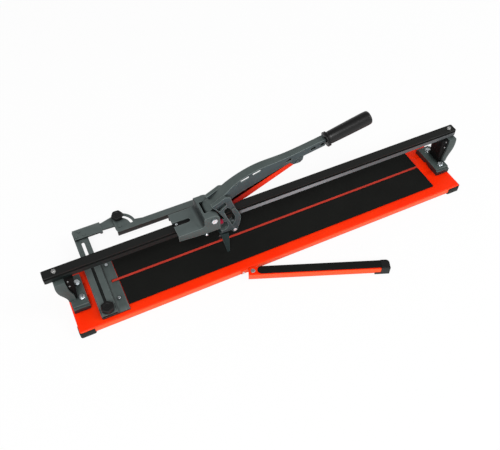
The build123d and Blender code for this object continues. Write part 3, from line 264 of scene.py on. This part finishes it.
# breaker foot: a darker copy of the casting, painted shade, as the blade stands in shade
shadedFootSettings = castingSettings | {
    "name": "footCasting", "colour": (0.012, 0.022, 0.022), "light": (0.016, 0.03, 0.03), "side": (0.008, 0.017, 0.017),
    "wear": 0.2, "sheen": 0.15,
}
# fence: stronger painted shade in its groove and pockets
fenceSettings = castingSettings | {
    "name": "fenceCasting", "reach": 9, "wear": 0.45, "open": ((0.74, 1), (0.96, 0)),
}
bracketSettings = castingSettings | {
    "name": "bracketCasting", "colour": (0.046, 0.063, 0.06), "side": (0.04, 0.056, 0.054),
    "foot": (0.008, 0.014, 0.0135), "footTop": 0.0462, "wear": 0.15,
}
# sheet: upright faces painted nearly black as shade
sheetSettings = castingSettings | {
    "name": "greySheet", "colour": (0.069, 0.087, 0.084), "light": (0.104, 0.125, 0.12), "sides": 0.9,
    "side": (0.008, 0.013, 0.0125), "wear": 0.3,
}


def makeCasting(settings):
    casting = Finish(settings["name"], settings["colour"], settings["roughness"], Specular_IOR_Level=settings["sheen"])
    patches = casting.ramp(casting.noise(30, 5), ((0.3, 0), (0.8, 1)))
    speckle = casting.noise(settings["grain"], 3)
    hollow = casting.hollow(settings["reach"] * mm, settings["open"])
    colour = casting.mix(patches * 0.5, rgba(settings["colour"]), rgba(settings["light"]))
    # painted shade: upright faces take the darker side colour
    colour = casting.mix(casting.upright() * settings["sides"], colour, rgba(settings["side"]))
    if "lee" in settings:
        # painted shade: faces that look towards -X are darker
        lee = casting.ramp(casting.facing("X") + 1.0, ((0.35, 1), (0.75, 0)))
        colour = casting.mix(lee, colour, rgba(settings["lee"]))
    # painted shade: upright faces low on the foot are darker
    if "foot" in settings:
        low = casting.upright() * (casting.axis("Z") < settings["footTop"])
        colour = casting.mix(low * 0.9, colour, rgba(settings["foot"]))
    # painted highlight: edges are lighter
    colour = casting.mix(casting.edge(settings["rim"] * mm) * settings["wear"], colour, rgba(settings["worn"]))
    # painted shade: pockets and corners take the pocket colour
    casting.give("Base Color", casting.mix(hollow, colour, rgba(settings["pocket"])))
    casting.give("Roughness", settings["roughness"] + speckle * 0.12)
    casting.bump(speckle + casting.noise(180, 2) * 0.6, 0.25, 0.0005)
    return casting.material


# the lip colours and stops give the rail's lip a painted highlight along X, dark at the left
railSettings = {
    "colour": (0.009, 0.0095, 0.009), "lip": (0.006, 0.009, 0.0085), "lipHighlight": (0.25, 0.262, 0.275),
    "lipTop": 0.1500, "roughness": 0.34, "sheen": 0.25,
    "worn": ((0.396, 0), (0.408, 0.62), (0.5, 0.9), (0.62, 1), (0.8, 0.45), (1.0, 0.33)),
}


def makeRail(settings):
    # painted highlight: the side lip is lighter from just left of the middle, brightest a little right of it, and stays
    # dark at the left
    rail = Finish("blackRail", settings["colour"], settings["roughness"], Specular_IOR_Level=settings["sheen"])
    drawn = rail.noise(260, 3, (0.02, 1, 1))
    lipHighlight = rail.ramp(rail.axis("X") + rampShift, settings["worn"])
    lip = rail.mix(lipHighlight, rgba(settings["lip"]), rgba(settings["lipHighlight"]))
    below = rail.axis("Z") < settings["lipTop"]
    rail.give("Base Color", rail.mix(below, rgba(settings["colour"]), lip))
    rail.give("Roughness", settings["roughness"] + drawn * 0.12)
    rail.bump(drawn, 0.08, 0.0003)
    return rail.material


def makeRubber(name, colour, roughness, grain, sheen=0.12, relief=0.4, side=None):
    rubber = Finish(name, colour, roughness, Specular_IOR_Level=sheen)
    pebble = rubber.noise(grain, 2)
    cloud = rubber.noise(14, 4)
    shade = rubber.mix(cloud, rgba(colour, 0.7), rgba(colour, 1.4))
    # painted light and shade: where a side colour is given, upright faces take it apart from the tops
    rubber.give("Base Color", rubber.mix(rubber.upright(), shade, rgba(side)) if side else shade)
    rubber.give("Roughness", roughness + pebble * 0.1)
    rubber.bump(pebble, relief, 0.0006)
    return rubber.material


def makeMetal(name, colour, roughness, grain):
    metal = Finish(name, colour, roughness, Metallic=1.0)
    brushed = metal.noise(grain, 3)
    # darker within 3 mm of a hollow
    darkInHollows = metal.hollow(3 * mm, ((0.2, 1), (0.8, 0)))
    metal.give("Base Color", metal.mix(darkInHollows * 0.7, rgba(colour), rgba(colour, 0.25)))
    metal.give("Roughness", roughness + brushed * 0.15)
    metal.bump(brushed, 0.1, 0.0002)
    return metal.material


finishes = {
    "orange_paint": makePaint(paintSettings),
    "grey_casting": makeCasting(castingSettings),
    "grey_sheet": makeCasting(sheetSettings),
    "black_rail": makeRail(railSettings),
    "black_rubber": makeRubber("matRubber", (0.0055, 0.0058, 0.005), 0.7, 700),
    "grip_rubber": makeRubber("gripRubber", (0.005, 0.005, 0.005), 0.34, 900, 0.34, 0.12),
    "black_plastic": makeRubber("mouldedNylon", (0.006, 0.006, 0.006), 0.42, 1200, 0.3),
    "red_rubber": makeRubber("redRubber", (0.24, 0.008, 0.03), 0.5, 900),
    "zinc_plate": makeMetal("zincPlate", (0.82, 0.87, 0.9), 0.22, 500),
    "ground_steel": makeMetal("groundSteel", (0.55, 0.56, 0.57), 0.25, 500),
    "carbide": makeMetal("carbide", (0.3, 0.3, 0.31), 0.3, 500),
    "bronze": makeMetal("bronze", (0.55, 0.36, 0.14), 0.35, 500),
}
# pieces that differ a little from the rest of their slot
special = {
    "lever": makeCasting(leverSettings),
    "carriage": makeCasting(carriageSettings),
    "end_fence": makeCasting(fenceSettings),
    "breaker_foot": makeCasting(shadedFootSettings),
    "left_bracket": makeCasting(bracketSettings),
    "strut": makePaint(strutSettings),
    # painted shade on the strip's sides; painted light on the cap's sides against a darker top
    "breaking_strip": makeRubber("stripPaint", (0.44, 0.032, 0.018), 0.5, 600, 0.2, 0.15, (0.12, 0.005, 0.003)),
    "arm_end_cap": makeRubber("capNylon", (0.0055, 0.0055, 0.0055), 0.5, 1200, 0.25, 0.4, (0.016, 0.017, 0.016)),
    "corner_feet": makeRubber("footNylon", (0.0068, 0.0085, 0.0068), 0.5, 1200, 0.2),
    "left_buffer_block": makeRubber("bufferRubber", (0.003, 0.003, 0.003), 0.6, 900, 0.1),
    "arm_rivet": makeMetal("rivetSteel", (0.5, 0.52, 0.5), 0.4, 500),
    "block_screws": makeMetal("dullSteel", (0.3, 0.31, 0.31), 0.5, 500),
    "rail_bolts": makeMetal("boltSteel", (0.55, 0.55, 0.54), 0.35, 500),
    "fork_screw": makeMetal("paleSteel", (0.85, 0.88, 0.9), 0.5, 500),
}
special["right_buffer_block"] = special["left_buffer_block"]
special["right_bracket"] = special["left_bracket"]


def finishOf(node):
    return special.get(node) or finishes[slotOf[node]]


print("finishes made:", len(finishes))


# ---- floor and light

floorSettings = {"reach": 12, "colour": (0.9, 0.9, 0.9), "glow": 0.9, "glint": 0.35}


def makeFloor(settings):
    reach = settings["reach"]
    mesh = bpy.data.meshes.new("floor")
    corners = [(-reach, -reach, 0), (reach, -reach, 0), (reach, reach, 0), (-reach, reach, 0)]
    mesh.from_pydata(corners, [], [(0, 1, 2, 3)])
    floor = bpy.data.objects.new("floor", mesh)
    bpy.context.scene.collection.objects.link(floor)
    # the lens sees a floor that is nearly all white, and a small share of it still takes the shadow
    white = Finish("floorWhite", settings["colour"], 0.9, Specular_IOR_Level=0.0)
    path = white.tree.nodes.new("ShaderNodeLightPath")
    seen = [Wire(white, path.outputs[name]) for name in ("Is Camera Ray", "Is Glossy Ray", "Is Transmission Ray")]
    share = (seen[0] + seen[2] > 0.5) * settings["glow"] + seen[1] * settings["glint"]
    plain = Wire(white, white.shader.outputs[0])
    glow = white.node("ShaderNodeEmission", {}, {"Color": (1, 1, 1, 1), "Strength": 1.0})
    both = white.node("ShaderNodeMixShader", {}, {0: share, 1: plain, 2: glow})
    white.plug(both, white.tree.nodes["Material Output"].inputs["Surface"])
    floor.data.materials.append(white.material)


lightSettings = {
    "horizon": 1.0, "ceiling": 0.30,
    "key": {"place": (-2.2, -4.4, 6.2), "size": 3.4, "power": 430},
    "fill": {"place": (4.4, -2.0, 4.0), "size": 3.0, "power": 110},
}


def makeLight(settings):
    # white walls near the horizon under a darker ceiling
    world = bpy.data.worlds.new("studio")
    bpy.context.scene.world = world
    world.use_nodes = True
    sky = Graph(world.node_tree)
    direction = sky.node("ShaderNodeTexCoord", {}, {}, "Generated")
    height = sky.node("ShaderNodeSeparateXYZ", {}, {0: direction}, "Z")
    horizon, ceiling = settings["horizon"], settings["ceiling"]
    stops = ((0.0, horizon), (0.2, horizon), (0.45, ceiling), (1.0, ceiling))
    shade = sky.node("ShaderNodeValToRGB", {"stops": stops}, {0: height})
    sky.plug(shade, world.node_tree.nodes["Background"].inputs["Color"])
    for name in ("key", "fill"):
        lamp = bpy.data.lights.new(name, "AREA")
        lamp.shape = "SQUARE"
        lamp.size = settings[name]["size"]
        lamp.energy = settings[name]["power"]
        holder = bpy.data.objects.new(name, lamp)
        place = Vector(settings[name]["place"])
        holder.matrix_world = Matrix.Translation(place) @ place.to_track_quat("Z", "Y").to_matrix().to_4x4()
        bpy.context.scene.collection.objects.link(holder)


makeCamera(cameraSettings)
makeFloor(floorSettings)
makeLight(lightSettings)
print("stage set")


# ---- common steps for a finished piece

def settle(name, mesh, node):
    # hands over the mesh that is shown in place of a node
    piece = bpy.data.objects.new(name, mesh)
    bpy.context.scene.collection.objects.link(piece)
    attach(piece, bodyOf[node])
    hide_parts(node)


def coated(mesh, node):
    mesh.materials.clear()
    mesh.materials.append(finishOf(node))
    return mesh


def islands(node):
    # lowest and highest corner of each separate solid of a node
    shell = bmesh.new()
    shell.from_mesh(nodes[node].data)
    bmesh.ops.remove_doubles(shell, verts=shell.verts, dist=1e-6)
    seen, boxes = set(), []
    for start in shell.verts:
        if start in seen:
            continue
        seen.add(start)
        stack, members = [start], []
        while stack:
            vertex = stack.pop()
            members.append(vertex.co.copy())
            for link in vertex.link_edges:
                other = link.other_vert(vertex)
                if other not in seen:
                    seen.add(other)
                    stack.append(other)
        low = Vector([min(point[i] for point in members) for i in range(3)])
        high = Vector([max(point[i] for point in members) for i in range(3)])
        boxes.append((low, high))
    shell.free()
    return boxes


# ---- rounding the edges of the cast and folded pieces

softenSettings = {"segments": 2, "sharp": 32, "flat": 0.5, "weld": 1e-6}    # angles in degrees


def soften(node, width, settings):
    mesh = nodes[node].data.copy()
    shell = bmesh.new()
    shell.from_mesh(mesh)
    bmesh.ops.remove_doubles(shell, verts=shell.verts, dist=settings["weld"])
    flat = math.radians(settings["flat"])
    bmesh.ops.dissolve_limit(shell, angle_limit=flat, verts=shell.verts, edges=shell.edges)
    shell.to_mesh(mesh)
    shell.free()
    mesh.materials.clear()
    for polygon in mesh.polygons:
        polygon.use_smooth = True
    rough = bpy.data.objects.new("rough", mesh)
    bpy.context.scene.collection.objects.link(rough)
    bevel = rough.modifiers.new("round", "BEVEL")
    bevel.width = width
    bevel.segments = settings["segments"]
    bevel.limit_method = "ANGLE"
    bevel.angle_limit = math.radians(settings["sharp"])
    bevel.harden_normals = True
    bevel.miter_outer = "MITER_ARC"
    baked = bpy.data.meshes.new_from_object(rough.evaluated_get(bpy.context.evaluated_depsgraph_get()))
    bpy.data.objects.remove(rough)
    settle(node + "_rounded", coated(baked, node), node)


# how far each piece is rounded, in millimetres
softened = {
    "base_plate": 0.5, "end_fence": 0.5, "left_bracket": 0.7, "right_bracket": 0.7, "carriage": 1.1, "lever": 1.3,
    "breaker_foot": 1.0, "stop_bar": 0.4, "stop_head": 0.5, "angle_arm": 0.5, "strut": 0.8, "support_arm": 0.8,
    "arm_hinge_bracket": 0.4, "left_buffer_block": 0.8, "right_buffer_block": 0.8, "corner_feet": 1.0,
    "breaking_strip": 1.6, "front_mat": 0.6, "rear_mat": 0.6, "arm_pad": 1.0, "arm_end_cap": 1.2, "glide_pad": 0.8,
    "bracket_nuts": 0.5, "pivot_nut": 0.6, "rail_caps": 0.35, "centre_stiffener": 0.6, "wheel_holder": 0.4,
}
for node, width in softened.items():
    soften(node, width * mm, softenSettings)
print("pieces rounded:", len(softened))


# ---- trees that make repeated and ruled shapes

def smoothed(mesh, angle=34):
    for polygon in mesh.polygons:
        polygon.use_smooth = True
    mesh.set_sharp_from_angle(angle=math.radians(angle))
    return mesh


class Maker(Graph):
    # a geometry tree with named inputs
    def __init__(self, name, inputs):
        group = bpy.data.node_groups.new(name, "GeometryNodeTree")
        super().__init__(group)
        self.sockets = {}
        shape = group.interface.new_socket("Shape", in_out="INPUT", socket_type="NodeSocketGeometry")
        for label, kind in inputs.items():
            socket = group.interface.new_socket(label, in_out="INPUT", socket_type="NodeSocket" + kind)
            self.sockets[label] = socket.identifier
        group.interface.new_socket("Shape", in_out="OUTPUT", socket_type="NodeSocketGeometry")
        self.entry = group.nodes.new("NodeGroupInput")

    def input(self, label):
        return Wire(self, self.entry.outputs[label])

    def close(self, shape):
        real = self.node("GeometryNodeRealizeInstances", {}, {0: shape})
        coated = self.node("GeometryNodeSetMaterial", {}, {"Geometry": real, "Material": self.input("Finish")})
        ending = self.tree.nodes.new("NodeGroupOutput")
        self.plug(coated, ending.inputs[0])

    def run(self, name, mesh, values):
        holder = bpy.data.objects.new(name, mesh)
        bpy.context.scene.collection.objects.link(holder)
        modifier = holder.modifiers.new(name, "NODES")
        modifier.node_group = self.tree
        for label, value in values.items():
            modifier[self.sockets[label]] = value
        made = bpy.data.meshes.new_from_object(holder.evaluated_get(bpy.context.evaluated_depsgraph_get()))
        bpy.data.objects.remove(holder)
        return smoothed(made)


def dots(points):
    mesh = bpy.data.meshes.new("dots")
    mesh.from_pydata(points, [], [])
    return mesh


# each step of a head's top is this share of the step before it
headShares = {
    "chamfer": 0.86, "rim": 0.62, "dish": 0.5, "washerSides": 32, "washerChamfer": 0.25, "washerTop": 0.95,
    "shankSides": 20,
}


def makeScrewTree(shares):
    kinds = {
        "Sides": "Int", "Head Radius": "Float", "Head Height": "Float", "Chamfer": "Float", "Dish": "Float",
        "Washer Radius": "Float", "Washer Height": "Float", "Shank Radius": "Float", "Shank Length": "Float",
        "Turn": "Vector", "Finish": "Material",
    }
    tree = Maker("screws", kinds)
    radius, height, chamfer = tree.input("Head Radius"), tree.input("Head Height"), tree.input("Chamfer")

    def raised(shape, lift):
        offset = tree.node("ShaderNodeCombineXYZ", {}, {"Z": lift})
        return tree.node("GeometryNodeTransform", {}, {"Geometry": shape, "Translation": offset})

    def rod(sides, size, depth):
        made = tree.tree.nodes.new("GeometryNodeMeshCylinder")
        tree.plug(sides, made.inputs["Vertices"])
        tree.plug(size, made.inputs["Radius"])
        tree.plug(depth, made.inputs["Depth"])
        return Wire(tree, made.outputs["Mesh"]), Wire(tree, made.outputs["Top"])

    def grown(shape, top, lift, scale):
        # pulls the top face out by lift and scales it
        made = tree.tree.nodes.new("GeometryNodeExtrudeMesh")
        tree.plug(shape, made.inputs["Mesh"])
        tree.plug(top, made.inputs["Selection"])
        tree.plug(lift, made.inputs["Offset Scale"])
        made.inputs["Individual"].default_value = False
        face = Wire(tree, made.outputs["Top"])
        values = {"Geometry": Wire(tree, made.outputs["Mesh"]), "Selection": face, "Scale": scale}
        return tree.node("GeometryNodeScaleElements", {}, values), face

    washerHeight = tree.input("Washer Height")
    body, top = rod(tree.input("Sides"), radius, height - chamfer)
    body, top = grown(body, top, chamfer, shares["chamfer"])
    body, top = grown(body, top, 0.0, shares["rim"])
    body, top = grown(body, top, tree.input("Dish") * -1.0, shares["dish"])
    head = raised(body, (height - chamfer) * 0.5 + washerHeight)
    straight = 1.0 - shares["washerChamfer"]
    disc, rim = rod(shares["washerSides"], tree.input("Washer Radius"), washerHeight * straight)
    disc, rim = grown(disc, rim, washerHeight * shares["washerChamfer"], shares["washerTop"])
    washer = raised(disc, washerHeight * (straight / 2))
    length = tree.input("Shank Length")
    stem, tip = rod(shares["shankSides"], tree.input("Shank Radius"), length)
    shank = raised(stem, length * -0.5)
    joined = tree.tree.nodes.new("GeometryNodeJoinGeometry")
    for shape in (head, washer, shank):
        tree.plug(shape, joined.inputs[0])
    turn = tree.node("FunctionNodeEulerToRotation", {}, {0: tree.input("Turn")})
    values = {"Points": tree.input("Shape"), "Instance": Wire(tree, joined.outputs[0]), "Rotation": turn}
    placed = tree.node("GeometryNodeInstanceOnPoints", {}, values)
    tree.close(placed)
    return tree


quarter = math.radians(90)
turns = {"up": (0, 0, 0), "down": (2 * quarter, 0, 0), "front": (quarter, 0, 0)}
ways = {"up": (0, 0, 1), "down": (0, 0, -1), "front": (0, -1, 0)}
# millimetres; flats is the width across the head, washer its width and height
screwSettings = {
    "bracket_bolts": {
        "way": "up", "sides": 6, "flats": 13.0, "head": 5.3, "washer": (16.0, 1.6),
        "shank": 8.0, "dish": 0.9,
    },
    "rail_bolts": {
        "way": "up", "sides": 6, "flats": 10.0, "head": 4.0, "washer": (12.0, 1.2),
        "shank": 6.0, "dish": 0.2,
    },
    "pivot_bolt": {
        "way": "front", "sides": 6, "flats": 16.0, "head": 6.4, "washer": (14.0, 0.2),
        "shank": 10.0, "dish": 0.5,
    },
    "flange_screw": {
        "way": "down", "sides": 6, "flats": 9.0, "head": 3.8, "washer": (8.0, 0.2),
        "shank": 5.0, "dish": 0.3,
    },
    "block_screws": {
        "way": "front", "sides": 20, "flats": 5.4, "head": 1.8, "washer": (4.0, 0.2),
        "shank": 3.0, "dish": 0.9,
    },
    "hinge_screws": {
        "way": "front", "sides": 20, "flats": 7.5, "head": 2.4, "washer": (6.0, 0.2),
        "shank": 4.0, "dish": 1.2,
    },
    "breaker_screws": {
        "way": "down", "sides": 24, "flats": 8.4, "head": 3.0, "washer": (6.0, 0.2),
        "shank": 5.0, "dish": 1.8,
    },
}


chamferShare = 0.18    # of the head's height


def makeScrews(tree, node, settings):
    way = Vector(ways[settings["way"]])
    washer, washerHeight = settings["washer"]
    stand = (settings["head"] + washerHeight) * mm
    seats, length = [], 0
    for low, high in islands(node):
        middle = (low + high) / 2
        reach = abs((high - low).dot(way))
        seats.append(middle + way * (reach / 2 - stand))
        length = reach - stand
    corner = settings["flats"] / 2 / math.cos(math.pi / settings["sides"])
    values = {
        "Sides": settings["sides"], "Head Radius": corner * mm, "Head Height": settings["head"] * mm,
        "Chamfer": settings["head"] * chamferShare * mm, "Dish": settings["dish"] * mm,
        "Washer Radius": washer / 2 * mm, "Washer Height": washerHeight * mm,
        "Shank Radius": settings["shank"] / 2 * mm, "Shank Length": length,
        "Turn": turns[settings["way"]], "Finish": finishOf(node),
    }
    mesh = tree.run(node, dots(seats), values)
    settle(node + "_set", mesh, node)
    print(node, "made:", len(seats))


screwTree = makeScrewTree(headShares)
for node, settings in screwSettings.items():
    makeScrews(screwTree, node, settings)


# ---- hand knobs: a six-sided outline by rule, with a chamfer, a dish and a waist

# shares of the radius and of the height, and an angle in radians
knobRule = {
    "sides": 6, "flat": 0.885, "corner": 0.985, "rounding": 0.07, "waistTop": 0.22, "chamferFrom": 0.8,
    "chamfer": 0.55, "dishEdge": 0.55, "topFrom": 0.99, "dish": 0.07,
}


def makeKnobTree(rule):
    kinds = {"Radius": "Float", "Height": "Float", "Turn": "Float", "Collar": "Float", "Finish": "Material"}
    tree = Maker("knob", kinds)
    counts = {"Vertices": 96, "Side Segments": 12, "Fill Segments": 14, "Radius": 1.0, "Depth": 1.0}
    disc = tree.node("GeometryNodeMeshCylinder", {}, counts, "Mesh")
    spot = tree.node("GeometryNodeInputPosition", {}, {})
    across, along, height = (tree.node("ShaderNodeSeparateXYZ", {}, {0: spot}, axis) for axis in "XYZ")
    level = height + 0.5
    flat = tree.node("ShaderNodeCombineXYZ", {}, {"X": across, "Y": along})
    out = tree.node("ShaderNodeVectorMath", {"operation": "LENGTH"}, {0: flat}, "Value")
    angle = across.sums("ARCTAN2", along, across) + tree.input("Turn")
    fold = angle.sums("PINGPONG", angle, math.pi / rule["sides"])
    sides = rule["flat"] / fold.sums("COSINE", fold)
    limits = {0: sides, 1: rule["corner"], 2: rule["rounding"]}
    outline = tree.node("ShaderNodeMath", {"operation": "SMOOTH_MIN"}, limits)
    low = level < rule["waistTop"]
    outline = outline * (1.0 - low) + tree.input("Collar") * low
    chamfer = level.sums("MAXIMUM", level - rule["chamferFrom"], 0.0) * rule["chamfer"]
    dish = (out < rule["dishEdge"]) * (level > rule["topFrom"]) * rule["dish"]
    wide = outline * (1.0 - chamfer) * tree.input("Radius")
    rise = (level - dish) * tree.input("Height")
    moved = tree.node("ShaderNodeCombineXYZ", {}, {"X": across * wide, "Y": along * wide, "Z": rise})
    shape = tree.node("GeometryNodeSetPosition", {}, {"Geometry": disc, "Position": moved})
    placed = tree.node("GeometryNodeInstanceOnPoints", {}, {"Points": tree.input("Shape"), "Instance": shape})
    tree.close(placed)
    return tree


knobTree = makeKnobTree(knobRule)
knobSettings = {"clamp_knob": {"turn": 0.15, "collar": 0.8}, "angle_knob": {"turn": 0.55, "collar": 0.8}}
for node, settings in knobSettings.items():
    low, high = islands(node)[0]
    seat = Vector(((low.x + high.x) / 2, (low.y + high.y) / 2, low.z))
    values = {
        "Radius": (high.x - low.x) / 2, "Height": high.z - low.z, "Turn": settings["turn"],
        "Collar": settings["collar"], "Finish": finishOf(node),
    }
    settle(node + "_lobed", knobTree.run(node, dots([seat]), values), node)
print("knobs made")


# ---- turned pieces

def turned(profile, origin, way, sides):
    # profile is (distance along, radius), and a radius of 0 closes the end
    along = Vector(way).normalized()
    out = along.orthogonal().normalized()
    side = along.cross(out)
    points, rings, faces = [], [], []
    for distance, radius in profile:
        centre = Vector(origin) + along * distance * mm
        if radius == 0:
            rings.append([len(points)])
            points.append(centre)
            continue
        rings.append(list(range(len(points), len(points) + sides)))
        for k in range(sides):
            turn = 2 * math.pi * k / sides
            points.append(centre + (out * math.cos(turn) + side * math.sin(turn)) * radius * mm)
    for first, second in zip(rings, rings[1:]):
        for k in range(sides):
            near = [first[k % len(first)], first[(k + 1) % len(first)]]
            far = [second[(k + 1) % len(second)], second[k % len(second)]]
            face = list(dict.fromkeys(near + far))
            if len(face) > 2:
                faces.append(face)
    mesh = bpy.data.meshes.new("turned")
    mesh.from_pydata(points, [], faces)
    shell = bmesh.new()
    shell.from_mesh(mesh)
    bmesh.ops.recalc_face_normals(shell, faces=shell.faces)
    shell.to_mesh(mesh)
    shell.free()
    return smoothed(mesh)


# the tube inside comes first, then a collar with a groove, a neck, the swelling handle and its rounded end
gripSettings = {
    "start": (0.164, 0.0, 0.301), "slope": 12.4, "sides": 96,
    "profile": [
        (110, 0), (110, 8.15), (0, 8.15), (0, 20.2), (1.2, 21.5), (3.4, 21.5), (4.3, 20.2), (5.0, 19.8), (5.7, 20.2),
        (6.6, 21.3), (8.2, 21.3), (9.4, 19.6), (10.4, 17.6), (12, 17.0), (14.5, 17.6), (17, 18.0), (40, 18.6),
        (80, 19.3), (120, 19.8), (131, 19.6), (135, 19.0), (137.6, 17.6), (139.2, 15.2), (139.8, 12.4),
        (139.5, 11.2), (138.8, 9.5), (138.5, 0),
    ],
}
slope = math.radians(gripSettings["slope"])
gripWay = (math.cos(slope), 0, math.sin(slope))
gripMesh = turned(gripSettings["profile"], gripSettings["start"], gripWay, gripSettings["sides"])
settle("grip_turned", coated(gripMesh, "grip"), "grip")
print("grip made")

# a ball bearing: rings, shields set in a little, rounded rim
rollerSettings = {
    "sides": 48,
    "profile": [
        (0, 4.0), (0, 5.2), (0.5, 5.4), (0.5, 8.6), (0, 8.9), (0, 10.4), (0.6, 11), (6.4, 11), (7, 10.4), (7, 8.9),
        (6.5, 8.6), (6.5, 5.4), (7, 5.2), (7, 4.0), (0, 4.0),
    ],
}
for node in [name for name in nodes if name.endswith("_roller")]:
    low, high = islands(node)[0]
    seat = ((low.x + high.x) / 2, (low.y + high.y) / 2, low.z)
    ring = turned(rollerSettings["profile"], seat, (0, 0, 1), rollerSettings["sides"])
    settle(node + "_turned", coated(ring, node), node)
print("rollers made")


# ---- everything that is left keeps its own shape

def coat():
    for node, piece in nodes.items():
        piece.data.materials.clear()
        piece.data.materials.append(finishOf(node))


coat()
bpy.context.scene.view_settings.view_transform = "Standard"
